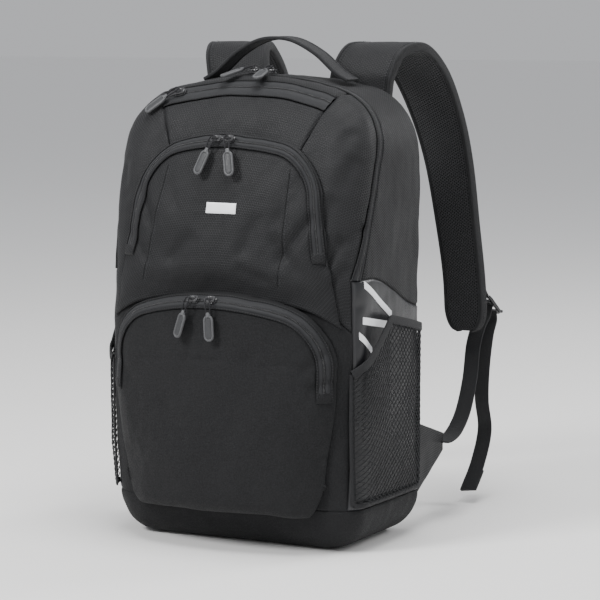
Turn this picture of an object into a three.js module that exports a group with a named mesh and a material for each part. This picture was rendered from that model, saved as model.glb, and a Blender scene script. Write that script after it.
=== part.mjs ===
// A school backpack: padded back, zipped main and front compartments, two zipped front pockets,
// open-mesh bottle pockets, a webbing grab handle and two adjustable shoulder straps.
//
// Frame, in millimetres: +Z up, +Y towards the wearer's back, -Y the front face, +X the right side
// as seen from the front. The origin is the centre of the foot, on the floor.
import * as THREE from 'three';

// ---- Body ----
const HEIGHT = 490;
const HALF_WIDTH = 150;
const BACK_Y = 92;
const CROWN_RADIUS = 350;
const SHOULDER_RADIUS = 75;
const FOOT_RADIUS = 46;
const WALL = 3;
const GAP = 0.5;
const FRONT_TAPER = 0.03;
const LIP_INSET = 41;
const PANEL_END = 1.25;
const PANEL_RUN = 100;
const CORNER_START = 0.8;
const BACK_ROUND = 0.06;
const BACK_INSET = 6;

// ---- Seams and zips ----
const ZIP_BAND = 11;
const ZIP_EDGE = 1.2;
const ZIP_TOP_Y = 22;
const ZIP_END_Y = -48;
const ZIP_TURN_Z = 480;
const ZIP_END_Z = 285;
const SIDE_BACK_Z = 246;
const WING_SEAM_X = 105;
const FRONT_ZIP_T = 0.86;
const FRONT_ZIP_SPAN = 0.07;
const ZIP_LIFT = 1;
const ZIP_THICK = 1.4;

// ---- Front pockets ----
const UPPER = { halfWidth: 111.5, top: 432, crown: 300, shoulder: 58, bulge: 13, edge: 22, flare: 0.00155,
  ease: 0, footBulge: 0.4, taper: 0 };
const LOWER = { halfWidth: 130, top: 269, crown: 320, shoulder: 66, bulge: 31, edge: 15, flare: 0,
  ease: 24, footBulge: 1, taper: 0.09 };
const UPPER_FOOT = 205;
const LOWER_FOOT = 38;
const LOWER_CORNER = { x: 106, reach: 24, rise: 36 };
const FLARE_Z = 360;
const EASE_LOW = 85;
const EASE_HIGH = 165;
const TAPER_SPAN = 100;
const POCKET_CLEARANCE = 1.3;
const POCKET_WALL = 1.8;
const POCKET_ZIP_INSET = 3;
const LABEL = { half: 17, low: 350, high: 361 };

// ---- Side mesh pockets ----
const MESH = { bottom: 52, frontT: 0.87, backT: 0.05, frontTop: 189, peakT: 0.58, peakTop: 241, backTop: 223 };
const TRIM = { width: 8, front: { t: 0.8, z: 281 }, back: { t: 0.46, z: 243 } };
const MESH_BULGE = 9;

// ---- Base board ----
const BOARD_FRONT = -28;
const BOARD_BACK = 74;
const BOARD_THICK = 2.5;

// ---- Carrying gear ----
const STRAP_THICK = 10;
const YOKE_WIDTH = 72;
const STRAP_TIP_WIDTH = 60;
const WEBBING = 22;
const WEBBING_THICK = 1.8;
const HANDLE_WIDTH = 26;
const HANDLE_THICK = 3;
const HANDLE_Y = 53;
const LOCK = { width: 27, height: 31, thick: 5, bar: 5, side: 3.5 };

// ---- Zip sliders and pulls ----
const SLIDER = { length: 12, width: 8, height: 3.6 };
const SLIDER_LIFT = ZIP_LIFT + ZIP_THICK + 1;
const PULL = { neck: 15, neckWidth: 2.6, tab: 27, tabWidth: 11, thick: 3 };

const CENTRE = new THREE.Vector3(0, 10, 240);
const vec = (x, y, z) => new THREE.Vector3(x, y, z);
const lerp = THREE.MathUtils.lerp;
const clamp = THREE.MathUtils.clamp;

// ---------------------------------------------------------------- outlines

// The arched front-view outline: flat foot, round lower corners, straight sides, round shoulders
// and a gently crowned top, all tangent arcs. at(s) walks it from the foot's centre up the right
// side, over the crown and down the left, s running from 0 to 1.
class Arch {
  constructor(halfWidth, top, crown, shoulder, foot) {
    Object.assign(this, { halfWidth, top, crown, shoulder, foot });
    const reach = halfWidth - shoulder;
    this.crownZ = top - crown;
    this.shoulderZ = this.crownZ + Math.sqrt((crown - shoulder) ** 2 - reach ** 2);
    this.crownAngle = Math.atan2(reach, this.shoulderZ - this.crownZ);
    this.runs = [
      halfWidth - foot,
      (foot * Math.PI) / 2,
      this.shoulderZ - foot,
      shoulder * (Math.PI / 2 - this.crownAngle),
      crown * this.crownAngle,
    ];
    this.half = this.runs.reduce((sum, run) => sum + run, 0);
  }

  rightAt(length) {
    const [flat, lower, side, upper] = this.runs;
    let rest = length;
    if (rest <= flat) return { x: rest, z: 0, nx: 0, nz: -1 };
    rest -= flat;
    if (rest <= lower) return this.arc(this.halfWidth - this.foot, this.foot, this.foot, rest / this.foot - Math.PI / 2);
    rest -= lower;
    if (rest <= side) return { x: this.halfWidth, z: this.foot + rest, nx: 1, nz: 0 };
    rest -= side;
    if (rest <= upper) return this.arc(this.halfWidth - this.shoulder, this.shoulderZ, this.shoulder, rest / this.shoulder);
    rest -= upper;
    return this.arc(0, this.crownZ, this.crown, Math.PI / 2 - this.crownAngle + rest / this.crown);
  }

  arc(cx, cz, radius, angle) {
    const nx = Math.cos(angle);
    const nz = Math.sin(angle);
    return { x: cx + radius * nx, z: cz + radius * nz, nx, nz };
  }

  at(s) {
    const length = s * 2 * this.half;
    if (length <= this.half) return this.rightAt(length);
    const p = this.rightAt(2 * this.half - length);
    return { x: -p.x, z: p.z, nx: -p.nx, nz: p.nz };
  }

  // The value of s where the right side passes a height.
  sAtHeight(z) {
    let low = this.runs[0] / (2 * this.half);
    let high = 0.5;
    for (let i = 0; i < 40; i++) {
      const middle = (low + high) / 2;
      if (this.at(middle).z < z) low = middle;
      else high = middle;
    }
    return low;
  }

  // The outline's height above a given x, its edge taken in by inset.
  topAt(x, inset = 0) {
    const reach = Math.abs(x);
    const split = (this.crown - inset) * Math.sin(this.crownAngle);
    if (reach <= split) return this.crownZ + Math.sqrt((this.crown - inset) ** 2 - reach ** 2);
    const radius = this.shoulder - inset;
    const beyond = clamp(reach - (this.halfWidth - this.shoulder), 0, radius);
    return this.shoulderZ + Math.sqrt(radius ** 2 - beyond ** 2);
  }

  // How far a point lies inside the sides and top.
  depthOf(x, z) {
    const reach = Math.abs(x);
    if (z <= this.shoulderZ) return this.halfWidth - reach;
    if (Math.atan2(reach, z - this.crownZ) <= this.crownAngle) return this.crown - Math.hypot(reach, z - this.crownZ);
    const beyond = Math.max(reach - (this.halfWidth - this.shoulder), 0);
    return this.shoulder - Math.hypot(beyond, z - this.shoulderZ);
  }
}

const BODY = new Arch(HALF_WIDTH, HEIGHT, CROWN_RADIUS, SHOULDER_RADIUS, FOOT_RADIUS);
const pocketArch = (p) => new Arch(p.halfWidth, p.top, p.crown, p.shoulder, 1);
const UPPER_ARCH = pocketArch(UPPER);
const LOWER_ARCH = pocketArch(LOWER);

// The front face: it bellies forward at mid height and leans back towards the top.
const FRONT_BELLY = -76;
const FRONT_BELLY_Z = 150;
const FRONT_FOOT = -62;
const FRONT_TOP = -18;

function frontY(z) {
  if (z < FRONT_BELLY_Z) {
    const k = 1 - z / FRONT_BELLY_Z;
    return lerp(FRONT_BELLY, FRONT_FOOT, k * k);
  }
  const k = (z - FRONT_BELLY_Z) / (HEIGHT - FRONT_BELLY_Z);
  return lerp(FRONT_BELLY, FRONT_TOP, k ** 3.2);
}

// ---------------------------------------------------------------- surfaces

// Depth and inset of the skin from t = 0 at the back seam to t = 1 where it turns flat on the front.
function profile(t) {
  if (t < BACK_ROUND) return { depth: t, inset: BACK_INSET * (1 - t / BACK_ROUND) ** 2 };
  if (t <= CORNER_START) return { depth: t, inset: 0 };
  if (t > 1) return { depth: 1, inset: LIP_INSET + (t - 1) * PANEL_RUN };
  const angle = ((t - CORNER_START) / (1 - CORNER_START)) * (Math.PI / 2);
  return { depth: CORNER_START + (1 - CORNER_START) * Math.sin(angle), inset: LIP_INSET * (1 - Math.cos(angle)) };
}

function skin(s, t) {
  const { depth, inset } = profile(t);
  const p = BODY.at(s);
  const z = p.z - inset * p.nz;
  const x = (p.x - inset * p.nx) * (1 - FRONT_TAPER * depth * depth);
  return vec(x, BACK_Y - depth * (BACK_Y - frontY(z)), z);
}

// The y of the front skin at a point of the front view.
function frontSkinY(x, z) {
  const inset = BODY.depthOf(x / (1 - FRONT_TAPER), z);
  const k = clamp(1 - inset / LIP_INSET, 0, 1);
  const depth = CORNER_START + (1 - CORNER_START) * Math.sqrt(1 - k * k);
  return BACK_Y - depth * (BACK_Y - frontY(z));
}

// The seam that the main zip lies along: over the top, down both sides, then straight to the foot.
function zipY(z) {
  const k = clamp((ZIP_TURN_Z - z) / (ZIP_TURN_Z - ZIP_END_Z), 0, 1);
  return lerp(ZIP_TOP_Y, ZIP_END_Y, k);
}

// The t of the skin that far ahead of the seam, allowing for the rounded front edge.
function seamT(s, ahead) {
  const z = BODY.at(s).z;
  const depth = (BACK_Y - zipY(z) + ahead) / (BACK_Y - frontY(z));
  if (depth <= CORNER_START) return depth;
  const rounded = Math.asin(Math.min((depth - CORNER_START) / (1 - CORNER_START), 1));
  return CORNER_START + (1 - CORNER_START) * (rounded / (Math.PI / 2));
}

// A closed solid between two offsets, low and high, of a surface(u, v) on the unit square.
function patch(surface, nu, nv, low, high, outward = CENTRE) {
  const step = 1e-3;
  const base = [];
  for (let i = 0; i <= nu; i++) {
    for (let j = 0; j <= nv; j++) {
      const u = i / nu;
      const v = j / nv;
      const du = surface(Math.min(u + step, 1), v).sub(surface(Math.max(u - step, 0), v));
      const dv = surface(u, Math.min(v + step, 1)).sub(surface(u, Math.max(v - step, 0)));
      base.push({ point: surface(u, v), normal: du.cross(dv).normalize() });
    }
  }
  const middle = base[Math.floor(nu / 2) * (nv + 1) + Math.floor(nv / 2)];
  const side = middle.normal.dot(middle.point.clone().sub(outward)) < 0 ? -1 : 1;
  const layer = (offset) => base.map((b) => b.point.clone().addScaledVector(b.normal, side * offset));
  return closedGrid(layer(high), layer(low), nu, nv);
}

function closedGrid(upper, lower, nu, nv) {
  const count = upper.length;
  const positions = [...upper, ...lower].flatMap((p) => [p.x, p.y, p.z]);
  const at = (i, j) => i * (nv + 1) + j;
  const faces = [];
  const quad = (a, b, c, d) => faces.push(a, b, c, a, c, d);
  for (let i = 0; i < nu; i++) {
    for (let j = 0; j < nv; j++) {
      quad(at(i, j), at(i + 1, j), at(i + 1, j + 1), at(i, j + 1));
      quad(count + at(i, j + 1), count + at(i + 1, j + 1), count + at(i + 1, j), count + at(i, j));
    }
  }
  for (let i = 0; i < nu; i++) {
    quad(at(i + 1, 0), at(i, 0), count + at(i, 0), count + at(i + 1, 0));
    quad(at(i, nv), at(i + 1, nv), count + at(i + 1, nv), count + at(i, nv));
  }
  for (let j = 0; j < nv; j++) {
    quad(at(0, j), at(0, j + 1), count + at(0, j + 1), count + at(0, j));
    quad(at(nu, j + 1), at(nu, j), count + at(nu, j), count + at(nu, j + 1));
  }
  const geometry = new THREE.BufferGeometry();
  geometry.setAttribute('position', new THREE.Float32BufferAttribute(positions, 3));
  geometry.setIndex(signedVolume(positions, faces) < 0 ? faces.reverse() : faces);
  geometry.computeVertexNormals();
  return geometry;
}

function signedVolume(positions, faces) {
  const corner = (k) => new THREE.Vector3().fromArray(positions, faces[k] * 3);
  let sum = 0;
  for (let k = 0; k < faces.length; k += 3) sum += corner(k).dot(corner(k + 1).cross(corner(k + 2)));
  return sum;
}

// A flat plate in the XZ plane, from y0 to y1.
function plate(points, y0, y1) {
  const shape = new THREE.Shape(points.map(([x, z]) => new THREE.Vector2(x, z)));
  const geometry = new THREE.ExtrudeGeometry(shape, { depth: y1 - y0, bevelEnabled: false });
  return geometry.rotateX(Math.PI / 2).translate(0, y1, 0);
}

function roundedRectangle(halfX, lowZ, highZ, radius, segments = 4) {
  const points = [];
  const corners = [[halfX, lowZ, 1, 1], [halfX, highZ, 1, -1], [-halfX, highZ, -1, -1], [-halfX, lowZ, -1, 1]];
  corners.forEach(([x, z, sx, sz], k) => {
    for (let i = 0; i <= segments; i++) {
      const angle = (k - 1 + i / segments) * (Math.PI / 2);
      points.push([x - sx * radius + radius * Math.cos(angle), z + sz * radius + radius * Math.sin(angle)]);
    }
  });
  return points;
}

// A strip swept along a curve; wide(u) gives its width direction, width(u) its width.
function ribbon(curve, wide, width, thick, nu, nv = 2) {
  const surface = (u, v) => curve.getPointAt(u).addScaledVector(wide(u), (v - 0.5) * width(u));
  return patch(surface, nu, nv, -thick / 2, thick / 2);
}

// ---------------------------------------------------------------- finishes

const finish = (color, roughness, metalness = 0) => new THREE.MeshStandardMaterial({ color, roughness, metalness });
const RIPSTOP = finish(0x17181b, 0.62);
const POLYESTER = finish(0x141517, 0.8);
const GLOSSY_CLOTH = finish(0x0d0e11, 0.35);
const LINING = finish(0x26282c, 0.75);
const AIR_MESH = finish(0x1b1c1f, 0.95);
const OPEN_MESH = finish(0x101113, 0.85);
const WEB = finish(0x121316, 0.7);
const ZIP_TAPE = finish(0x0f1012, 0.6);
const ZIP_METAL = finish(0x1c1d20, 0.4, 0.6);
const PLASTIC = finish(0x0b0b0d, 0.25);
const RUBBER = finish(0x3b3d41, 0.6);
const REFLECTIVE = finish(0xe6e8ea, 0.3);
const BOARD = finish(0x8b8578, 0.9);

const group = new THREE.Group();

function add(name, geometry, material) {
  const mesh = new THREE.Mesh(geometry, material);
  mesh.name = name;
  group.add(mesh);
  return mesh;
}

// ---------------------------------------------------------------- body panels

const S_FOOT = BODY.sAtHeight(FOOT_RADIUS);
const S_ZIP_END = BODY.sAtHeight(ZIP_END_Z);
const S_WING_TOP = BODY.sAtHeight(BODY.topAt(WING_SEAM_X));
const S_GAP = GAP / (2 * BODY.half);
const T_GAP = 0.003;
const SIDE_EDGE_T = 0.76;
const SEAM_STEPS = 6;

// The wings reach further over the front beside the upper pocket than beside the lower one.
function wingFront(s) {
  return lerp(1, PANEL_END, clamp((BODY.at(s).z - LOWER.top) / 60, 0, 1));
}

// The edge on each side wall where the upper cloth ends: it falls from the zip's end to the back.
function sideEdgeS(t) {
  const k = clamp(t / SIDE_EDGE_T, 0, 1);
  return BODY.sAtHeight(lerp(SIDE_BACK_Z, ZIP_END_Z, k * k * (3 - 2 * k)));
}

// A skin panel between two seams round the arch, s0 and s1, and two along it, t0 and t1: each a function.
function skinPanel(s0, s1, t0, t1, nu, nv, left = false, low = -WALL, high = 0) {
  const surface = (u, v) => {
    let t = v;
    let s = 0;
    for (let step = 0; step < SEAM_STEPS; step += 1) {
      s = lerp(s0(t), s1(t), u);
      t = lerp(t0(s), t1(s), v);
    }
    return skin(left ? 1 - s : s, t);
  };
  return patch(surface, nu, nv, low, high);
}

const at = (value) => () => value;

function buildSidePanels(side, left) {
  const top = at(S_WING_TOP - S_GAP);
  const foot = at(S_FOOT + 2 * S_GAP);
  const zipBack = (s) => seamT(s, 0) - T_GAP;
  const wingBack = (s) => seamT(s, ZIP_BAND) + T_GAP;
  const sideFront = (s) => seamT(s, ZIP_BAND) - 3 * T_GAP;
  const above = (t) => sideEdgeS(t) + 4 * S_GAP;
  const below = (t) => sideEdgeS(t) - 4 * S_GAP;
  add(`rear_gusset_${side}`, skinPanel(above, top, at(0), zipBack, 12, 4, left), RIPSTOP);
  add(`side_panel_${side}`, skinPanel(foot, below, at(0), sideFront, 8, 5, left), GLOSSY_CLOTH);
  add(`wing_panel_${side}`, skinPanel(foot, top, wingBack, wingFront, 20, 7, left), RIPSTOP);
}

function buildTopPanels() {
  const s0 = at(S_WING_TOP + S_GAP);
  const s1 = at(1 - S_WING_TOP - S_GAP);
  const zipBack = at(FRONT_ZIP_T - T_GAP);
  const zipFront = at(FRONT_ZIP_T + FRONT_ZIP_SPAN + T_GAP);
  add('rear_gusset_top', skinPanel(s0, s1, at(0), (s) => seamT(s, 0) - T_GAP, 14, 3), RIPSTOP);
  add('front_gusset_top', skinPanel(s0, s1, (s) => seamT(s, ZIP_BAND) + T_GAP, zipBack, 14, 2), RIPSTOP);
  add('front_top_panel', skinPanel(s0, s1, zipFront, at(PANEL_END), 14, 5), RIPSTOP);
  const end = at(S_ZIP_END + S_GAP);
  const start = at(1 - S_ZIP_END - S_GAP);
  const zipInner = (s) => seamT(s, ZIP_EDGE);
  const zipOuter = (s) => seamT(s, ZIP_BAND - ZIP_EDGE);
  add('main_zip', skinPanel(end, start, zipInner, zipOuter, 40, 1, false, -ZIP_THICK, 0), ZIP_TAPE);
  const frontEnd = at(FRONT_ZIP_T + FRONT_ZIP_SPAN);
  add('front_zip', skinPanel(s0, s1, at(FRONT_ZIP_T), frontEnd, 14, 1, false, -ZIP_THICK, 0), ZIP_TAPE);
}

function buildBase() {
  const surface = (u, v) => skin((lerp(-S_FOOT, S_FOOT, u) + 1) % 1, v);
  add('base_panel', patch(surface, 16, 12, -WALL, 0), POLYESTER);
  const board = plate(roundedRectangle(100, BOARD_FRONT, BOARD_BACK, 12), 0, BOARD_THICK);
  add('base_board', board.rotateX(-Math.PI / 2).translate(0, 0, WALL + GAP + BOARD_THICK), BOARD);
}

const DIVIDER_Y = -38;

// A curved inner wall whose outline follows the body's, taken in by inset.
function innerWall(inset, lowZ, yAt, low, high, nu = 12, nv = 10) {
  const half = HALF_WIDTH - inset;
  const surface = (u, v) => {
    const x = half * Math.sin((u - 0.5) * Math.PI);
    const z = lerp(lowZ, BODY.topAt(x, inset), v);
    return vec(x, yAt(z), z);
  };
  return patch(surface, nu, nv, low, high);
}

function buildInnerWalls() {
  const frontPanel = innerWall(46, 50, (z) => frontY(z) + WALL + 1.2, -2, 0);
  add('front_panel', frontPanel, POLYESTER);
  const divider = innerWall(14, 50, (z) => Math.max(zipY(z) - ZIP_BAND - 6, DIVIDER_Y), -2, 0);
  add('compartment_divider', divider, LINING);
  add('tablet_sleeve', plate(roundedRectangle(128, 42, 300, 10), 58, 61), LINING);
}

const BACK_PANEL_INSET = 10;
const BACK_PANEL_THICK = 10;
const PAD_THICK = 8;

function buildBackPanel() {
  const outline = [];
  const steps = 44;
  for (let i = 0; i < steps; i++) {
    const p = BODY.at(i / steps);
    outline.push([p.x - BACK_PANEL_INSET * p.nx, p.z - BACK_PANEL_INSET * p.nz]);
  }
  add('back_panel', plate(outline, BACK_Y - BACK_PANEL_THICK, BACK_Y), RIPSTOP);
  const padY = BACK_Y + GAP;
  const upper = roundedRectangle(50, 190, 436, 22);
  add('back_pad_left', plate(upper, padY, padY + PAD_THICK).translate(-66, 0, 0), AIR_MESH);
  add('back_pad_right', plate(upper, padY, padY + PAD_THICK).translate(66, 0, 0), AIR_MESH);
  add('lumbar_pad', plate(roundedRectangle(116, 56, 172, 24), padY, padY + PAD_THICK), AIR_MESH);
}

// ---------------------------------------------------------------- front pockets

// The upper pocket's outline widens downwards and the lower one's narrows to its foot.
function flared(pocket, x, z) {
  const taper = pocket.taper * THREE.MathUtils.smoothstep(EASE_HIGH - z, 0, TAPER_SPAN);
  return x * (1 + pocket.flare * (FLARE_Z - z) - taper);
}

// The lower edges of the pockets: the lower one's corners are rounded up.
UPPER.foot = () => UPPER_FOOT;
LOWER.foot = (x) => LOWER_FOOT + LOWER_CORNER.rise * clamp((Math.abs(x) - LOWER_CORNER.x) / LOWER_CORNER.reach, 0, 1) ** 2;

// The inner face of a pocket: clear of the front skin by its bulge, which rises from its edge.
function pocketPoint(pocket, arch, x, z, out = 0) {
  const soft = pocket.edge + pocket.ease * (1 - clamp((z - EASE_LOW) / (EASE_HIGH - EASE_LOW), 0, 1));
  const edge = clamp(Math.min(arch.depthOf(x, z) / soft, (z - pocket.foot(x)) / pocket.edge), 0, 1);
  const across = 1 - (x / (pocket.halfWidth + 14)) ** 2;
  const low = lerp(pocket.footBulge, 1, THREE.MathUtils.smoothstep(z, LOWER_ARCH.topAt(x), LOWER_ARCH.topAt(x) + 30));
  const rise = low * Math.sqrt(1 - (1 - edge) ** 2);
  const wide = flared(pocket, x, z);
  return vec(wide, frontSkinY(wide, z) - POCKET_CLEARANCE - pocket.bulge * across * rise - out, z);
}

function pocketShell(pocket, arch, footAt, nu, nv) {
  const surface = (u, v) => {
    const x = pocket.halfWidth * Math.sin((u - 0.5) * Math.PI);
    const k = 0.5 - 0.5 * Math.cos(v * Math.PI);
    const z = lerp(footAt(x), arch.topAt(x), k);
    return pocketPoint(pocket, arch, x, z);
  };
  return patch(surface, nu, nv, 0, POCKET_WALL);
}

// A point of a pocket's zip band: s runs along its arch, v across the band.
function pocketZipPoint(pocket, arch, s, v) {
  const p = arch.at(s);
  const inset = POCKET_ZIP_INSET + v * ZIP_BAND;
  const x = p.x - inset * p.nx;
  const z = p.z - inset * p.nz;
  return pocketPoint(pocket, arch, x, z, POCKET_WALL);
}

function buildPocket(name, pocket, arch, footAt, zipEndZ) {
  add(name, pocketShell(pocket, arch, footAt, 16, 14), POLYESTER);
  const s0 = arch.sAtHeight(zipEndZ);
  const surface = (u, v) => pocketZipPoint(pocket, arch, lerp(s0, 1 - s0, u), v);
  add(`${name}_zip`, patch(surface, 36, 2, ZIP_LIFT, ZIP_LIFT + ZIP_THICK), ZIP_TAPE);
}

function buildLabel() {
  const surface = (u, v) => {
    return pocketPoint(UPPER, UPPER_ARCH, lerp(-LABEL.half, LABEL.half, u), lerp(LABEL.low, LABEL.high, v), POCKET_WALL);
  };
  add('label_patch', patch(surface, 4, 2, GAP, GAP + 0.8), REFLECTIVE);
}

// ---------------------------------------------------------------- sides

// Height of the bottle pocket's mouth: it climbs from the front corner, then falls to the back.
function meshTop(t) {
  if (t > MESH.peakT) return lerp(MESH.peakTop, MESH.frontTop, (t - MESH.peakT) / (MESH.frontT - MESH.peakT));
  return lerp(MESH.backTop, MESH.peakTop, (t - MESH.backT) / (MESH.peakT - MESH.backT));
}

function meshPoint(t, v, left) {
  const z = lerp(MESH.bottom, meshTop(t), v);
  const s = BODY.sAtHeight(z);
  const across = Math.sin(Math.PI * clamp((t - MESH.backT) / (MESH.frontT - MESH.backT), 0, 1)) ** 0.6;
  const swell = MESH_BULGE * across * Math.min(1, 0.25 + 2.5 * v);
  const p = skin(left ? 1 - s : s, t);
  return p.add(vec(left ? -swell : swell, 0, 0));
}

function buildSidePocket(side, left) {
  const mesh = (u, v) => meshPoint(lerp(MESH.backT, MESH.frontT, u), v, left);
  add(`mesh_pocket_${side}`, patch(mesh, 12, 6, 1.4, 2.8), OPEN_MESH);
  const trim = (u, v) => {
    const z = lerp(TRIM.front.z, TRIM.back.z, u) + (v - 0.5) * TRIM.width;
    return skin(left ? 1 - BODY.sAtHeight(z) : BODY.sAtHeight(z), lerp(TRIM.front.t, TRIM.back.t, u));
  };
  add(`reflective_trim_${side}`, patch(trim, 5, 1, 0.5, 1.2), REFLECTIVE);
}

// ---------------------------------------------------------------- carrying gear

function buildHandle() {
  const half = [vec(-86, 0, 0), vec(-72, 0, 8), vec(-48, 0, 28), vec(-20, 0, 42)];
  const points = [...half, vec(0, 0, 44.5), ...half.slice().reverse().map((p) => vec(-p.x, 0, p.z))];
  const curve = new THREE.CatmullRomCurve3(points);
  const geometry = ribbon(curve, () => vec(0, 1, 0), () => HANDLE_WIDTH, HANDLE_THICK, 24, 1);
  const handle = add('top_handle', geometry, WEB);
  handle.position.set(0, HANDLE_Y, 484.5);
  handle.userData.joint = { centre: handle.position.toArray(), axis: [1, 0, 0] };
}

const flip = (p, left) => vec(left ? -p.x : p.x, p.y, p.z);
const path = (points, left) => new THREE.CatmullRomCurve3(points.map((p) => flip(vec(...p), left)));

const YOKE_ROUTE = [[72, 98.5, 446], [73.5, 99, 470], [76.5, 101, 492]];
const STRAP_ROUTE = [
  [77, 102, 496], [84, 114, 513], [94, 145, 518], [101, 188, 494], [106, 228, 445],
  [110, 254, 390], [117, 264, 320], [124, 268, 255], [127, 268, 197],
];
const WEBBING_ROUTE = [
  [136, 304, 214], [134.5, 292, 204], [133, 278, 192], [139, 251, 143], [143, 222, 110], [145.5, 192, 93], [148, 162, 88],
];
const TAIL_ROUTE = [
  [138.5, 312, 207], [138, 303, 190], [137, 294, 150], [137, 292, 114], [138, 299, 79], [137, 281, 42], [135, 256, 14],
];
const LOOP_ROUTE = [[126.3, 273.5, 262], [128.5, 281, 257], [131, 289.5, 246.5], [132.4, 294.9, 237.5]];
const LOCK_CENTRE = [137, 306, 224];
const LOCK_FACE = [0.28, 0.68, 0.68];
const ANCHOR_TIP = { y: 156, z: 88, half: 9 };
const ANCHOR_ROOT = { y: 93.5, low: 46, high: 116 };
const STRAP_TURN = 0.39;

// The strap's width turns from straight across at the top to outer-edge-forward at the tip.
function strapWide(u, left) {
  const turn = THREE.MathUtils.smoothstep(u, 0.05, 0.9) * STRAP_TURN;
  return flip(vec(Math.cos(turn), -Math.sin(turn), 0), left);
}

function strapWidth(u) {
  const taper = lerp(YOKE_WIDTH, STRAP_TIP_WIDTH, THREE.MathUtils.smoothstep(u, 0.1, 0.9));
  const tip = clamp((1 - u) / 0.09, 0, 1);
  return taper * lerp(0.35, 1, Math.sqrt(1 - (1 - tip) ** 2));
}

function ladderLock() {
  const { width, height, bar, side } = LOCK;
  const shape = new THREE.Shape();
  const corner = 4;
  const w = width / 2;
  const h = height / 2;
  shape.moveTo(-w + corner, -h).lineTo(w - corner, -h).lineTo(w, -h + corner).lineTo(w, h - corner)
    .lineTo(w - corner, h).lineTo(-w + corner, h).lineTo(-w, h - corner).lineTo(-w, -h + corner).closePath();
  const slot = (height - 3 * bar) / 2;
  for (const low of [-h + bar, bar / 2]) {
    const hole = new THREE.Path();
    hole.moveTo(-w + side, low).lineTo(-w + side, low + slot).lineTo(w - side, low + slot).lineTo(w - side, low);
    shape.holes.push(hole.closePath());
  }
  return new THREE.ExtrudeGeometry(shape, { depth: LOCK.thick, bevelEnabled: false }).translate(0, 0, -LOCK.thick / 2);
}

// Stands a mesh in a frame given by two of its axes.
function orient(mesh, position, xAxis, zAxis) {
  const x = xAxis.clone().normalize();
  const z = zAxis.clone().addScaledVector(x, -zAxis.dot(x)).normalize();
  const y = z.clone().cross(x);
  mesh.position.copy(position);
  mesh.quaternion.setFromRotationMatrix(new THREE.Matrix4().makeBasis(x, y, z));
}

function buildStrap(side, left) {
  const strap = ribbon(path(STRAP_ROUTE, left), (u) => strapWide(u, left), strapWidth, STRAP_THICK, 26, 2);
  const root = flip(vec(72, 96, 470), left);
  const foot = flip(vec(148, ANCHOR_ROOT.y, ANCHOR_TIP.z), left);
  const axis = foot.clone().sub(root).normalize();
  if (left) axis.negate();
  add(`shoulder_strap_${side}`, strap, AIR_MESH).userData.joint = { centre: root.toArray(), axis: axis.toArray() };
  const yoke = ribbon(path(YOKE_ROUTE, left), () => vec(1, 0, 0), () => YOKE_WIDTH, STRAP_THICK, 3, 1);
  add(`strap_yoke_${side}`, yoke, RIPSTOP);

  const wide = () => strapWide(1, left);
  add(`adjuster_webbing_${side}`, ribbon(path(WEBBING_ROUTE, left), wide, () => WEBBING, WEBBING_THICK, 12, 1), WEB);
  add(`lock_loop_${side}`, ribbon(path(LOOP_ROUTE, left), wide, () => WEBBING, WEBBING_THICK, 4, 1), WEB);

  const anchor = new THREE.Shape();
  anchor.moveTo(ANCHOR_ROOT.y, ANCHOR_ROOT.low).lineTo(ANCHOR_TIP.y, ANCHOR_TIP.z - ANCHOR_TIP.half)
    .lineTo(ANCHOR_TIP.y, ANCHOR_TIP.z + ANCHOR_TIP.half).lineTo(ANCHOR_ROOT.y, ANCHOR_ROOT.high).closePath();
  const sheet = new THREE.ExtrudeGeometry(anchor, { depth: 3, bevelEnabled: false });
  sheet.rotateX(Math.PI / 2).rotateZ(Math.PI / 2).translate(left ? -149.5 : 146.5, 0, 0);
  add(`strap_anchor_${side}`, sheet, RIPSTOP);

  const lock = add(`ladder_lock_${side}`, ladderLock(), PLASTIC);
  orient(lock, flip(vec(...LOCK_CENTRE), left), strapWide(1, left), flip(vec(...LOCK_FACE), left));
  const hingeAt = flip(vec(...LOOP_ROUTE.at(-1)), left);
  const across = flip(strapWide(1, left), false);
  lock.userData.joint = { centre: hingeAt.toArray(), axis: across.clone().multiplyScalar(left ? -1 : 1).toArray() };

  const tail = ribbon(path(TAIL_ROUTE, left), wide, () => WEBBING, WEBBING_THICK, 12, 1);
  const tailAxis = across.clone().multiplyScalar(left ? -1 : 1).toArray();
  add(`webbing_tail_${side}`, tail, WEB).userData.joint = {
    centre: flip(vec(...TAIL_ROUTE[0]), left).toArray(), axis: tailAxis,
  };
}

// ---------------------------------------------------------------- sliders and pulls

function sliderBody() {
  const l = SLIDER.length / 2;
  const w = SLIDER.width / 2;
  const outline = [[-l, -w * 0.55], [-l * 0.3, -w], [l * 0.5, -w], [l, -w * 0.6], [l, w * 0.6], [l * 0.5, w],
    [-l * 0.3, w], [-l, w * 0.55]];
  const shape = new THREE.Shape(outline.map(([x, y]) => new THREE.Vector2(x, y)));
  return new THREE.ExtrudeGeometry(shape, { depth: SLIDER.height, bevelEnabled: false });
}

// A moulded tab on a short cord neck, running along +Y from the bail.
function pullBody() {
  const shape = new THREE.Shape();
  const n = PULL.neckWidth / 2;
  const r = PULL.tabWidth / 2;
  const start = PULL.neck + r;
  const end = PULL.neck + PULL.tab - r;
  shape.moveTo(-n, 0).lineTo(-n, PULL.neck).absarc(0, end, r, Math.PI, 0, true);
  shape.lineTo(r, start).lineTo(n, PULL.neck).lineTo(n, 0).closePath();
  return new THREE.ExtrudeGeometry(shape, { depth: PULL.thick, bevelEnabled: false, curveSegments: 6 })
    .translate(0, 0, -PULL.thick / 2);
}

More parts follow.
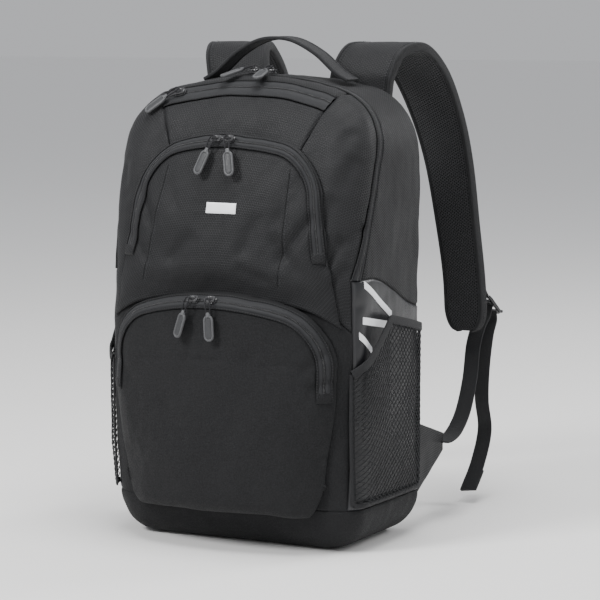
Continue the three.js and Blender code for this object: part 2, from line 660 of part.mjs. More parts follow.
// The circle that a zip's run follows, through three of its points.
function circleThrough(a, b, c) {
  const ab = b.clone().sub(a);
  const ac = c.clone().sub(a);
  const axis = ab.clone().cross(ac);
  const scale = 1 / (2 * axis.lengthSq());
  const centre = a.clone()
    .addScaledVector(axis.clone().cross(ab), ac.lengthSq() * scale)
    .addScaledVector(ac.clone().cross(axis), ab.lengthSq() * scale);
  return { centre: centre.toArray(), axis: axis.normalize().toArray() };
}

// A slider at x on a zip: band(x, v) gives the zip tape's outer face, v running across it.
// It opens by travel along the zip, and its pull hangs from the bail towards hang.
function buildSlider(name, band, x, travel, hang) {
  const at = band(x, 0.5);
  const along = band(x + 1, 0.5).sub(band(x - 1, 0.5)).normalize();
  const face = along.clone().cross(band(x, 0.7).sub(band(x, 0.3))).normalize();
  if (face.dot(at.clone().sub(CENTRE)) < 0) face.negate();
  const slider = add(`${name}_slider`, sliderBody(), ZIP_METAL);
  const seat = at.clone().addScaledVector(face, SLIDER_LIFT);
  orient(slider, seat, along, face);
  const end = band(x + travel, 0.5);
  const circle = circleThrough(at, band(x + travel / 2, 0.5), end);
  slider.userData.joint = { ...circle, travel: at.distanceTo(end) };
  const fall = vec(...hang).normalize();
  const pullFace = face.clone().addScaledVector(fall, -face.dot(fall)).normalize();
  const across = face.clone().cross(along);
  const clear = SLIDER.height * face.dot(pullFace) + (SLIDER.width / 2) * Math.abs(across.dot(pullFace))
    + (SLIDER.length / 2) * Math.abs(along.dot(pullFace));
  const bail = seat.clone().addScaledVector(pullFace, clear + GAP + PULL.thick / 2);
  const pull = add(`${name}_pull`, pullBody(), RUBBER);
  const axis = fall.clone().cross(pullFace);
  orient(pull, bail, axis, pullFace);
  pull.userData.joint = { centre: bail.toArray(), axis: axis.toArray() };
}

// s on an arch whose x, taken in by inset, is the one asked for, near the crown.
function crownS(arch, x, inset) {
  return 0.5 - Math.asin(x / (arch.crown - inset)) * (arch.crown / (2 * arch.half));
}

function buildSliders() {
  const middle = POCKET_ZIP_INSET + ZIP_BAND / 2;
  const pocketBand = (pocket, arch) => (x, v) => pocketZipPoint(pocket, arch, crownS(arch, x, middle), v);
  const mainBand = (x, v) => {
    const s = crownS(BODY, x, 0);
    return skin(s, seamT(s, v * ZIP_BAND));
  };
  const frontBand = (x, v) => skin(crownS(BODY, x, 0), FRONT_ZIP_T + v * FRONT_ZIP_SPAN);
  const upper = pocketBand(UPPER, UPPER_ARCH);
  const lower = pocketBand(LOWER, LOWER_ARCH);
  buildSlider('upper_pocket_left', upper, -15, -45, [-0.35, -0.3, -1]);
  buildSlider('upper_pocket_right', upper, 1, 45, [0.25, -0.3, -1]);
  buildSlider('lower_pocket_left', lower, -17, -44, [-0.3, -0.04, -1]);
  buildSlider('lower_pocket_right', lower, 3, 60, [0.07, -0.04, -1]);
  buildSlider('main_left', mainBand, -12, -55, [-0.5, -1, -0.3]);
  buildSlider('main_right', mainBand, 8, 95, [0.1, -1, -0.3]);
  buildSlider('front', frontBand, -84, 140, [-1, -0.3, -0.75]);
}

for (const side of ['left', 'right']) {
  const left = side === 'left';
  buildSidePanels(side, left);
  buildSidePocket(side, left);
  buildStrap(side, left);
}
buildTopPanels();
buildBase();
buildInnerWalls();
buildBackPanel();
buildPocket('upper_pocket', UPPER, UPPER_ARCH, (x) => LOWER_ARCH.topAt(x) + 3, 300);
buildPocket('lower_pocket', LOWER, LOWER_ARCH, LOWER.foot, 165);
buildLabel();
buildHandle();
buildSliders();

export default group;
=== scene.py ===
"""Looks of the school backpack: sewn cloth panels, zips, mesh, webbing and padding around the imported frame.

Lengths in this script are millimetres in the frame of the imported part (+Z up, -Y the front face, +Y the wearer's
back, +X the right side seen from the front); MM turns them into Blender's metres as each mesh is made.
"""
import math

import bmesh
import bpy
import numpy as np
from mathutils import Matrix, Vector


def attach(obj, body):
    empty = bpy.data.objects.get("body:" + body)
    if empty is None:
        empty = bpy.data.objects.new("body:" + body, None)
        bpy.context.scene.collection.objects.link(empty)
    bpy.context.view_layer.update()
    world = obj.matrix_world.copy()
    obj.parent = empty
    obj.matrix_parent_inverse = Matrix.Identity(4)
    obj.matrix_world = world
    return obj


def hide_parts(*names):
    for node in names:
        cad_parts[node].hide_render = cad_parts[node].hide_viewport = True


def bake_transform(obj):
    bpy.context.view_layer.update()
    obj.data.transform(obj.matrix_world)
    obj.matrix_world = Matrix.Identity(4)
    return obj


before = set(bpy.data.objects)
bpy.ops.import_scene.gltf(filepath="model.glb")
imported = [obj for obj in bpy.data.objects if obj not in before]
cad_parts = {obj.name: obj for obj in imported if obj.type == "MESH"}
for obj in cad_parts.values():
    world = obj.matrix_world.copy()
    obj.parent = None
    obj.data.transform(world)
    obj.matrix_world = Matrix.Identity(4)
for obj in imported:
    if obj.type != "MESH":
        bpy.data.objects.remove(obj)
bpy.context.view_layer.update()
MM = 0.001

# ---- The body's driving dimensions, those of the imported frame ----
HEIGHT = 490
HALF_WIDTH = 150
BACK_Y = 92
CROWN_RADIUS = 350
SHOULDER_RADIUS = 75
FOOT_RADIUS = 46
FRONT_TAPER = 0.03
LIP_INSET = 41
CORNER_START = 0.8
BACK_ROUND = 0.06
BACK_INSET = 6
ZIP_BAND = 11
ZIP_TOP_Y = 22
ZIP_END_Y = -48
ZIP_TURN_Z = 480
ZIP_END_Z = 285
SIDE_BACK_Z = 246
SIDE_EDGE_T = 0.76
PANEL_END = 1.25
PANEL_RUN = 100
WING_SEAM_X = 105
FRONT_ZIP_T = 0.86
FRONT_ZIP_SPAN = 0.07
FRONT_BELLY = -76
FRONT_BELLY_Z = 150
FRONT_FOOT = -62
FRONT_TOP = -18
CENTRE = np.array([0.0, 10.0, 240.0])
UPPER = dict(half=111.5, top=432, crown=300, shoulder=58, bulge=13, edge=22, ease=0, flare=0.00155,
             foot_bulge=0.4, taper=0.0)
LOWER = dict(half=130, top=269, crown=320, shoulder=66, bulge=31, edge=15, ease=24, flare=0.0,
             foot_bulge=1.0, taper=0.09)
UPPER_FOOT = 205
LOWER_FOOT = 38
LOWER_CORNER_X = 106
LOWER_CORNER_REACH = 24
LOWER_CORNER_RISE = 36
UPPER_ZIP_END = 306
LOWER_ZIP_END = 165
FLARE_Z = 360
EASE_LOW = 85
EASE_HIGH = 165
TAPER_SPAN = 100
POCKET_RISE = 3.1
POCKET_OVERLAP = 4
POCKET_ZIP_INSET = 3

# ---- Camera: a long lens a little to the right of the front and slightly above ----
CAMERA_AZIMUTH = 27.0
CAMERA_ELEVATION = 6.5
CAMERA_DISTANCE = 2600.0
CAMERA_ZOOM = 0.94
SENSOR = 36.0
IMAGE_SIZE = 600
TARGET = np.array([0.0, 0.0, 245.0])
TARGET_RIGHT = 45.5
TARGET_UP = 7.0

# ---- Studio, in metres: each lamp's name, place, the point it faces, width and power ----
LIGHTS = [("key", (-1.1, -2.2, 2.2), (0, 0, 0.28), 1.0, 95), ("fill", (2.4, -1.6, 0.9), (0, 0, 0.25), 1.8, 14),
          ("top", (0.3, -0.2, 2.4), (0, 0, 0.3), 1.4, 60), ("rim", (1.6, 2.0, 1.5), (0.1, 0.1, 0.3), 0.9, 34)]
FLOOR_SIZE = 60
FLOOR_Z = -0.0006
# The floor's colour runs from FLOOR_NEAR round the bag to FLOOR_FAR far off, over FLOOR_FADE metres: painted light,
# darker round the bag and lighter with distance until the floor meets the sky's colour.
FLOOR_NEAR = (0.76, 0.755, 0.745, 1)
FLOOR_FAR = (0.95, 0.95, 0.95, 1)
FLOOR_FADE = (0.6, 5.0)
SKY = (0.96, 0.97, 1.0, 1)
SKY_STRENGTH = 0.55


UV_START = 500
TUBE_UV_START = 50


def lerp(a, b, k):
    return a + (b - a) * k


def ease(k):
    k = np.clip(k, 0, 1)
    return k * k * (3 - 2 * k)


def vec(*xyz):
    return np.stack(np.broadcast_arrays(*[np.asarray(c, float) for c in xyz]), -1)


def unit(v):
    return v / np.maximum(np.linalg.norm(v, axis=-1, keepdims=True), 1e-9)


# ------------------------------------------------------------------ the body's surfaces

class Arch:
    """The arched front outline: flat foot, round corners, straight sides, round shoulders, crowned top.
    at(s) walks it from the foot's centre up the right side and over, s from 0 to 1."""

    def __init__(self, half, top, crown, shoulder, foot):
        self.half, self.top, self.crown, self.shoulder, self.foot = half, top, crown, shoulder, foot
        reach = half - shoulder
        self.crown_z = top - crown
        self.shoulder_z = self.crown_z + math.sqrt((crown - shoulder) ** 2 - reach ** 2)
        self.angle = math.atan2(reach, self.shoulder_z - self.crown_z)
        self.runs = np.cumsum([half - foot, foot * math.pi / 2, self.shoulder_z - foot,
                               shoulder * (math.pi / 2 - self.angle), crown * self.angle])
        self.length = self.runs[-1]
        table = np.linspace(self.runs[0] / (2 * self.length), 0.5, 3000)
        self.table = (self.at(table)[1], table)

    def at(self, s):
        """x, z and the outward normal's x, z."""
        s = np.asarray(s, float)
        way = s * 2 * self.length
        left = way > self.length
        way = np.where(left, 2 * self.length - way, way)
        flat, lower, side, upper, _ = self.runs
        low_angle = np.clip((way - flat) / self.foot, 0, math.pi / 2) - math.pi / 2
        high_angle = (way - side) / self.shoulder
        top_angle = math.pi / 2 - self.angle + (way - upper) / self.crown
        low_side = np.where(way < lower, low_angle, 0)
        angle = np.where(way < side, low_side, np.where(way < upper, high_angle, top_angle))
        nx, nz = np.cos(angle), np.sin(angle)
        x = self.half + 0 * way
        z = self.foot + way - lower
        low = way < lower
        x = np.where(low, self.half - self.foot + self.foot * nx, x)
        z = np.where(low, self.foot + self.foot * nz, z)
        x = np.where(way < flat, way, x)
        z = np.where(way < flat, 0, z)
        shoulder = (way >= side) & (way < upper)
        x = np.where(shoulder, self.half - self.shoulder + self.shoulder * nx, x)
        z = np.where(shoulder, self.shoulder_z + self.shoulder * nz, z)
        x = np.where(way >= upper, self.crown * nx, x)
        z = np.where(way >= upper, self.crown_z + self.crown * nz, z)
        flip = np.where(left, -1, 1)
        return x * flip, z, nx * flip, nz

    def s_at(self, z):
        return np.interp(z, *self.table)

    def top_at(self, x, inset=0.0):
        reach = np.abs(x)
        crown = self.crown - inset
        high = self.crown_z + np.sqrt(np.maximum(crown ** 2 - reach ** 2, 0))
        radius = self.shoulder - inset
        beyond = np.clip(reach - (self.half - self.shoulder), 0, radius)
        low = self.shoulder_z + np.sqrt(radius ** 2 - beyond ** 2)
        return np.where(reach <= crown * math.sin(self.angle), high, low)

    def depth_of(self, x, z):
        reach = np.abs(x)
        crowned = self.crown - np.hypot(reach, z - self.crown_z)
        beyond = np.maximum(reach - (self.half - self.shoulder), 0)
        cornered = self.shoulder - np.hypot(beyond, z - self.shoulder_z)
        above = np.where(np.arctan2(reach, z - self.crown_z) <= self.angle, crowned, cornered)
        return np.where(z <= self.shoulder_z, self.half - reach, above)


BODY = Arch(HALF_WIDTH, HEIGHT, CROWN_RADIUS, SHOULDER_RADIUS, FOOT_RADIUS)
UPPER_ARCH = Arch(UPPER["half"], UPPER["top"], UPPER["crown"], UPPER["shoulder"], 1)
LOWER_ARCH = Arch(LOWER["half"], LOWER["top"], LOWER["crown"], LOWER["shoulder"], 1)


def front_y(z):
    low = lerp(FRONT_BELLY, FRONT_FOOT, (1 - np.clip(z / FRONT_BELLY_Z, 0, 1)) ** 2)
    high = np.clip((z - FRONT_BELLY_Z) / (HEIGHT - FRONT_BELLY_Z), 0, 1) ** 3.2
    return np.where(z < FRONT_BELLY_Z, low, lerp(FRONT_BELLY, FRONT_TOP, high))


def skin(s, t):
    """The bag's outer skin: s round the arch, t from 0 at the back seam to 1 at the front lip."""
    s, t = np.broadcast_arrays(np.asarray(s, float), np.asarray(t, float))
    angle = np.clip((t - CORNER_START) / (1 - CORNER_START), 0, 1) * math.pi / 2
    depth = np.where(t <= CORNER_START, t, CORNER_START + (1 - CORNER_START) * np.sin(angle))
    inset = LIP_INSET * (1 - np.cos(angle)) + BACK_INSET * np.clip(1 - t / BACK_ROUND, 0, 1) ** 2
    inset = inset + PANEL_RUN * np.maximum(t - 1, 0)
    x, z, nx, nz = BODY.at(s)
    z = z - inset * nz
    x = (x - inset * nx) * (1 - FRONT_TAPER * depth ** 2)
    return vec(x, BACK_Y - depth * (BACK_Y - front_y(z)), z)


def front_skin_y(x, z):
    k = np.clip(1 - BODY.depth_of(x / (1 - FRONT_TAPER), z) / LIP_INSET, 0, 1)
    depth = CORNER_START + (1 - CORNER_START) * np.sqrt(1 - k * k)
    return BACK_Y - depth * (BACK_Y - front_y(z))


def zip_y(z):
    return lerp(ZIP_TOP_Y, ZIP_END_Y, np.clip((ZIP_TURN_Z - z) / (ZIP_TURN_Z - ZIP_END_Z), 0, 1))


def t_at(y, z):
    """The t at which the side wall reaches y, the inverse of the rounded corner in skin."""
    depth = (BACK_Y - y) / (BACK_Y - front_y(z))
    rounded = np.arcsin(np.clip((depth - CORNER_START) / (1 - CORNER_START), 0, 1)) / (math.pi / 2)
    return np.where(depth <= CORNER_START, depth, CORNER_START + (1 - CORNER_START) * rounded)


def seam_t(s, ahead=0.0):
    """The seam along the main zip, or the line that runs ahead of it by a width."""
    z = BODY.at(s)[1]
    return t_at(zip_y(z) - ahead, z)


def foot_z(pocket, x):
    if pocket is UPPER:
        return UPPER_FOOT + 0 * x
    corner = np.clip((np.abs(x) - LOWER_CORNER_X) / LOWER_CORNER_REACH, 0, 1)
    return LOWER_FOOT + LOWER_CORNER_RISE * corner ** 2


def pocket_face(pocket, arch, x, z):
    """A point of a front pocket's outer face, from its place on the unflared outline."""
    foot = z - foot_z(pocket, x)
    soft = pocket["edge"] + pocket["ease"] * (1 - np.clip((z - EASE_LOW) / (EASE_HIGH - EASE_LOW), 0, 1))
    edge = np.clip(np.minimum(arch.depth_of(x, z) / soft, foot / pocket["edge"]), 0, 1)
    across = 1 - (x / (pocket["half"] + 14)) ** 2
    wide = x * (1 + pocket["flare"] * (FLARE_Z - z) - pocket["taper"] * ease((EASE_HIGH - z) / TAPER_SPAN))
    low = lerp(pocket["foot_bulge"], 1, ease((z - LOWER_ARCH.top_at(x)) / 30))
    rise = POCKET_RISE + pocket["bulge"] * across * low * np.sqrt(1 - (1 - edge) ** 2)
    return vec(wide, front_skin_y(wide, z) - rise, z)


def pocket_point(pocket, arch, s, inset):
    x, z, nx, nz = arch.at(s)
    return pocket_face(pocket, arch, x - inset * nx, z - inset * nz)


# ------------------------------------------------------------------ soft shape

WAVES = 7


def waves(points, wavelength, seed):
    """A smooth wandering field from -1 to 1, the same at the same place on every panel."""
    random = np.random.RandomState(seed)
    total = 0
    for _ in range(WAVES):
        way = unit(random.normal(size=3))
        bend = unit(random.normal(size=3))
        phase = random.uniform(0, 2 * math.pi, 2)
        k = 2 * math.pi / (wavelength * random.uniform(0.7, 1.5))
        warp = 1.1 * np.sin(points @ bend * k * 0.6 + phase[0])
        total = total + np.sin(points @ way * k + phase[1] + warp)
    return total / WAVES * 1.6


def fold(points, start, end, depth, width):
    """A crease pressed in along the line from start to end, fading at both ends."""
    a, b = np.array(start, float), np.array(end, float)
    along = b - a
    k = (points - a) @ along / (along @ along)
    off = np.linalg.norm(points - (a + np.clip(k, 0, 1)[..., None] * along), axis=-1)
    fade = ease(k / 0.25 + 0.3) * ease((1 - k) / 0.35 + 0.3)
    return -depth * np.exp(-(off / width) ** 2) * fade


FOLD_STRENGTH = 1.8
FOLDS = [
    ((104, -72, 352), (66, -84, 300), 2.4, 6), ((96, -74, 388), (74, -84, 356), 1.8, 5),
    ((-104, -70, 380), (-82, -80, 330), 2.0, 6), ((-112, -70, 330), (-84, -82, 296), 1.6, 6),
    ((60, -84, 330), (92, -80, 286), 1.8, 7), ((20, -88, 296), (60, -88, 280), 1.0, 6),
    ((136, -58, 300), (112, -72, 268), 2.2, 6), ((142, -46, 262), (124, -68, 240), 2.0, 5),
    ((146, -40, 340), (128, -62, 318), 1.6, 6), ((136, -40, 410), (122, -52, 372), 2.2, 8),
    ((128, -30, 436), (116, -48, 402), 1.6, 6), ((-136, -44, 400), (-122, -56, 356), 1.8, 8),
    ((122, -78, 214), (98, -94, 190), 1.8, 5), ((126, -76, 186), (106, -92, 172), 2.2, 5),
    ((-120, -78, 200), (-96, -94, 168), 1.4, 6), ((118, -76, 96), (88, -92, 128), 1.8, 8),
    ((96, -84, 70), (60, -100, 98), 1.6, 8), ((-110, -76, 92), (-70, -98, 112), 1.4, 8),
    ((40, -104, 214), (76, -100, 150), 1.0, 10), ((-60, -102, 160), (-30, -106, 110), 0.9, 12),
    ((0, -110, 202), (-100, -95, 197), 1.1, 3), ((-10, -110, 202), (100, -95, 199), 1.1, 3),
    ((84, -84, 396), (64, -86, 336), 2.2, 9), ((44, -86, 352), (24, -88, 306), 1.8, 8),
    ((-30, -86, 330), (-64, -84, 296), 1.7, 8), ((-70, -80, 388), (-52, -86, 350), 1.5, 7),
    ((134, -62, 330), (112, -74, 292), 2.0, 6), ((120, -66, 372), (108, -70, 330), 1.8, 7),
    ((70, -60, 30), (120, -52, 46), 1.6, 7), ((-30, -64, 26), (30, -64, 22), 1.2, 8),
]


def crumple(points):
    """How far the stuffed cloth stands off its pattern: slow swells, small ripples and pulled folds."""
    height = 1.9 * waves(points, 120, 3) + 0.85 * waves(points, 46, 11) + 0.28 * waves(points, 19, 23)
    for crease in FOLDS:
        height = height + FOLD_STRENGTH * fold(points, *crease)
    return height


def way_along(path):
    """The length walked along a path at each of its points."""
    return np.concatenate([[0], np.cumsum(np.linalg.norm(np.diff(path, axis=0), axis=1))])


def normals(points, reference=None):
    across = np.cross(np.gradient(points, axis=0), np.gradient(points, axis=1))
    n = unit(across)
    if reference is not None and np.mean(np.sum(n * (points - reference), -1)) < 0:
        n = -n
    return n


def edge_steps(length, step, rim=(0.0, 0.5, 1.1, 1.9, 3.0, 4.5)):
    """Places from 0 to 1 along a length, close together near both edges, where the cloth rolls into a seam."""
    count = max(int((length - 2 * rim[-1]) / step), 2)
    inner = np.linspace(rim[-1], length - rim[-1], count + 1)[1:-1]
    places = np.concatenate([rim, inner, length - np.array(rim[::-1])])
    return places / length


def tucked(points, depth=2.6, reach=3.2):
    """How far a panel's edges roll in towards its seams."""
    length_u = np.concatenate([[0], np.cumsum(np.linalg.norm(np.diff(points, axis=0), axis=-1).mean(1))])
    length_v = np.concatenate([[0], np.cumsum(np.linalg.norm(np.diff(points, axis=1), axis=-1).mean(0))])
    near_u = np.minimum(length_u, length_u[-1] - length_u)[:, None]
    near = np.minimum(near_u, np.minimum(length_v, length_v[-1] - length_v)[None, :])
    return -depth * np.clip(1 - near / reach, 0, 1) ** 2


# ------------------------------------------------------------------ meshes

def write_uv(mesh, layer, uv):
    loops = np.zeros(len(mesh.loops), np.int32)
    mesh.loops.foreach_get("vertex_index", loops)
    layer.data.foreach_set("uv", np.asarray(uv, np.float32)[loops].ravel())


def make_mesh(name, vertices, faces, material, uv=None, sharp=45.0):
    mesh = bpy.data.meshes.new(name)
    mesh.from_pydata((np.asarray(vertices) * MM).tolist(), [], faces)
    if uv is not None:
        write_uv(mesh, mesh.uv_layers.new(name="UVMap"), uv)
    mesh.shade_smooth()
    mesh.set_sharp_from_angle(angle=math.radians(sharp))
    mesh.materials.append(material)
    obj = bpy.data.objects.new(name, mesh)
    bpy.context.scene.collection.objects.link(obj)
    return obj


def grid_faces(nu, nv, offset=0, flip=False):
    i, j = np.meshgrid(np.arange(nu - 1), np.arange(nv - 1), indexing="ij")
    first = i * nv + j + offset
    quads = np.stack([first, first + nv, first + nv + 1, first + 1], -1).reshape(-1, 4)
    return quads[:, ::-1] if flip else quads


def lengths_uv(points):
    """Flat cloth coordinates in millimetres, so that every weave has its true scale."""
    u = np.concatenate([np.zeros((1, points.shape[1])),
                        np.cumsum(np.linalg.norm(np.diff(points, axis=0), axis=-1), 0)])
    v = np.concatenate([np.zeros((points.shape[0], 1)),
                        np.cumsum(np.linalg.norm(np.diff(points, axis=1), axis=-1), 1)], 1)
    u = u - u.mean(0, keepdims=True) + UV_START
    v = v - v.mean(1, keepdims=True) + UV_START
    return np.stack([u, v], -1)


def cloth(name, points, thick, material, reference=CENTRE, relief=0.0):
    """A closed sheet of cloth: points is its outer face, relief lifts it, thick is its thickness."""
    n = normals(points, reference)
    points = points + n * np.asarray(relief)[..., None] if np.ndim(relief) else points + n * relief
    n = normals(points, reference)
    nu, nv = points.shape[:2]
    count = nu * nv
    out = np.cross(points[1, 0] - points[0, 0], points[0, 1] - points[0, 0]) @ n[0, 0] > 0
    faces = [grid_faces(nu, nv, 0, not out), grid_faces(nu, nv, count, out)]
    ring = np.concatenate([np.arange(nu) * nv, (nu - 1) * nv + np.arange(1, nv),
                           np.arange(nu - 2, -1, -1) * nv + nv - 1, np.arange(nv - 2, 0, -1)])
    after = np.roll(ring, -1)
    rim = np.stack([ring, ring + count, after + count, after], -1)
    faces.append(rim if out else rim[:, ::-1])
    flat = lengths_uv(points).reshape(-1, 2)
    vertices = np.concatenate([points.reshape(-1, 3), (points - n * thick).reshape(-1, 3)])
    return make_mesh(name, vertices, np.concatenate(faces).tolist(), material, np.concatenate([flat, flat]))


def frames_along(path, up=None):
    """Tangent and two cross directions along a path; up fixes the first cross direction."""
    tangent = unit(np.gradient(path, axis=0))
    if up is None:
        side = [unit(np.cross(tangent[0], [0.31, 0.52, 0.8]))]
        for t in tangent[1:]:
            side.append(unit(side[-1] - t * (side[-1] @ t)))
        side = np.array(side)
    else:
        side = unit(up - tangent * np.sum(up * tangent, -1, keepdims=True))
    return tangent, side, np.cross(tangent, side)


def tube_faces(n, k, closed=False):
    """The faces of n rings of k points each: a capped tube, or one that closes on itself."""
    faces = [(i * k + j, i * k + (j + 1) % k, (i + 1) % n * k + (j + 1) % k, (i + 1) % n * k + j)
             for i in range(n if closed else n - 1) for j in range(k)]
    return faces if closed else faces + [tuple(range(k))[::-1], tuple((n - 1) * k + j for j in range(k))]


def wrapped_uv(along, girth):
    """Cloth coordinates in millimetres for a tube: its length one way, its girth the other."""
    return np.stack(np.meshgrid(along + TUBE_UV_START, girth + TUBE_UV_START, indexing="ij"), -1).reshape(-1, 2)


def sweep(name, path, section, material, up=None, closed=False):
    """A closed section (k, 2), in millimetres, carried along a path; section x lies along up."""
    _, side, other = frames_along(path, up)
    rings = path[:, None] + (section[None, :, :1] * side[:, None] + section[None, :, 1:] * other[:, None])
    n, k = rings.shape[:2]
    uv = wrapped_uv(way_along(path), way_along(section))
    return make_mesh(name, rings.reshape(-1, 3), tube_faces(n, k, closed), material, uv, sharp=50)


def oval(width, height, count=12, power=2.0):
    a = np.linspace(0, 2 * math.pi, count, endpoint=False)
    c, s = np.cos(a), np.sin(a)
    return np.stack([np.sign(c) * np.abs(c) ** (2 / power) * width / 2,
                     np.sign(s) * np.abs(s) ** (2 / power) * height / 2], -1)


def spline(points, count):
    """A centripetal Catmull-Rom curve through the points, at count even steps of length."""
    p = np.array(points, float)
    p = np.concatenate([[2 * p[0] - p[1]], p, [2 * p[-1] - p[-2]]])
    out = []
    for a, b, c, d in zip(p, p[1:], p[2:], p[3:]):
        t1 = math.sqrt(np.linalg.norm(b - a))
        t2 = t1 + math.sqrt(np.linalg.norm(c - b))
        t3 = t2 + math.sqrt(np.linalg.norm(d - c))
        t = np.linspace(t1, t2, 24, endpoint=False)[:, None]
        ab = a + (b - a) * t / t1
        bc = b + (c - b) * (t - t1) / (t2 - t1)
        cd = c + (d - c) * (t - t2) / (t3 - t2)
        abc, bcd = ab + (bc - ab) * t / t2, bc + (cd - bc) * (t - t1) / (t3 - t1)
        out.append(abc + (bcd - abc) * (t - t1) / (t2 - t1))
    return resample(np.concatenate(out + [p[-2:-1]]), count)


def resample(path, count):
    way = way_along(path)
    even = np.linspace(0, way[-1], count)
    return np.stack([np.interp(even, way, path[:, k]) for k in range(path.shape[1])], -1)


def join(name, parts):
    """One object out of several, keeping the first one's name."""
    bpy.ops.object.select_all(action="DESELECT")
    for part in parts:
        part.select_set(True)
    bpy.context.view_layer.objects.active = parts[0]
    bpy.ops.object.join()
    parts[0].name = name
    return parts[0]


STITCH_PITCH = 3.4
STITCH_SIZE = (2.5, 0.6, 0.7)
STUD = np.array([(-1, 0, -0.6), (-0.6, 1, 0.5), (-0.6, -1, 0.5), (0, 0, 1), (0.6, 1, 0.5), (0.6, -1, 0.5),
                 (1, 0, -0.6), (0, 1.1, 0), (0, -1.1, 0)])
STUD_FACES = np.array([(0, 2, 1), (1, 2, 3), (1, 3, 7), (3, 2, 8), (3, 4, 7), (3, 8, 5), (3, 5, 4), (4, 5, 6),
                       (0, 1, 7), (0, 7, 6), (7, 4, 6), (0, 8, 2), (0, 6, 8), (8, 6, 5)])


def studs(name, path, out, material, pitch, size, across=False):
    """A row of small rounded beads along a path: stitches, or zip teeth when they lie across it."""
    count = max(int(way_along(path)[-1] / pitch), 2)
    even = resample(path, count)
    way = np.linspace(0, 1, len(path))
    up = unit(np.stack([np.interp(np.linspace(0, 1, count), way, out[:, k]) for k in range(3)], -1))
    along = unit(np.gradient(even, axis=0))
    side = np.cross(along, up)
    if across:
        along, side = side, along
    bead = STUD * np.array(size) / 2
    places = (even[:, None] + bead[None, :, :1] * along[:, None] + bead[None, :, 1:2] * side[:, None]
              + bead[None, :, 2:] * up[:, None])
    faces = STUD_FACES[:, ::-1] if across else STUD_FACES
    faces = (faces[None] + 9 * np.arange(count)[:, None, None]).reshape(-1, 3)
    return make_mesh(name, places.reshape(-1, 3), faces.tolist(), material, sharp=80)


def stitches(name, path, out):
    return studs(name, path, out, THREAD, STITCH_PITCH, STITCH_SIZE)


def loft(name, rings, material, sharp=40):
    """A closed solid through rings of points, capped at both ends."""
    rings = np.array(rings)
    n, k = rings.shape[:2]
    points = rings.reshape(-1, 3)
    upright = np.ptp(points[:, 1]) < np.ptp(points[:, 2])
    flat = points[:, [0, 2] if upright else [0, 1]] + UV_START
    return outward(make_mesh(name, points, tube_faces(n, k), material, flat, sharp))


def outward(obj):
    """Turns every face of a closed piece to look outwards."""
    work = bmesh.new()
    work.from_mesh(obj.data)
    bmesh.ops.recalc_face_normals(work, faces=work.faces)
    work.to_mesh(obj.data)
    work.free()
    return obj


def place(obj, body, slot, *nodes):
    """Rides a piece on its body and hides the frame's solids that it stands for; slot is not used."""
    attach(obj, body)
    if nodes:
        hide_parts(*nodes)
    return obj


# ------------------------------------------------------------------ materials

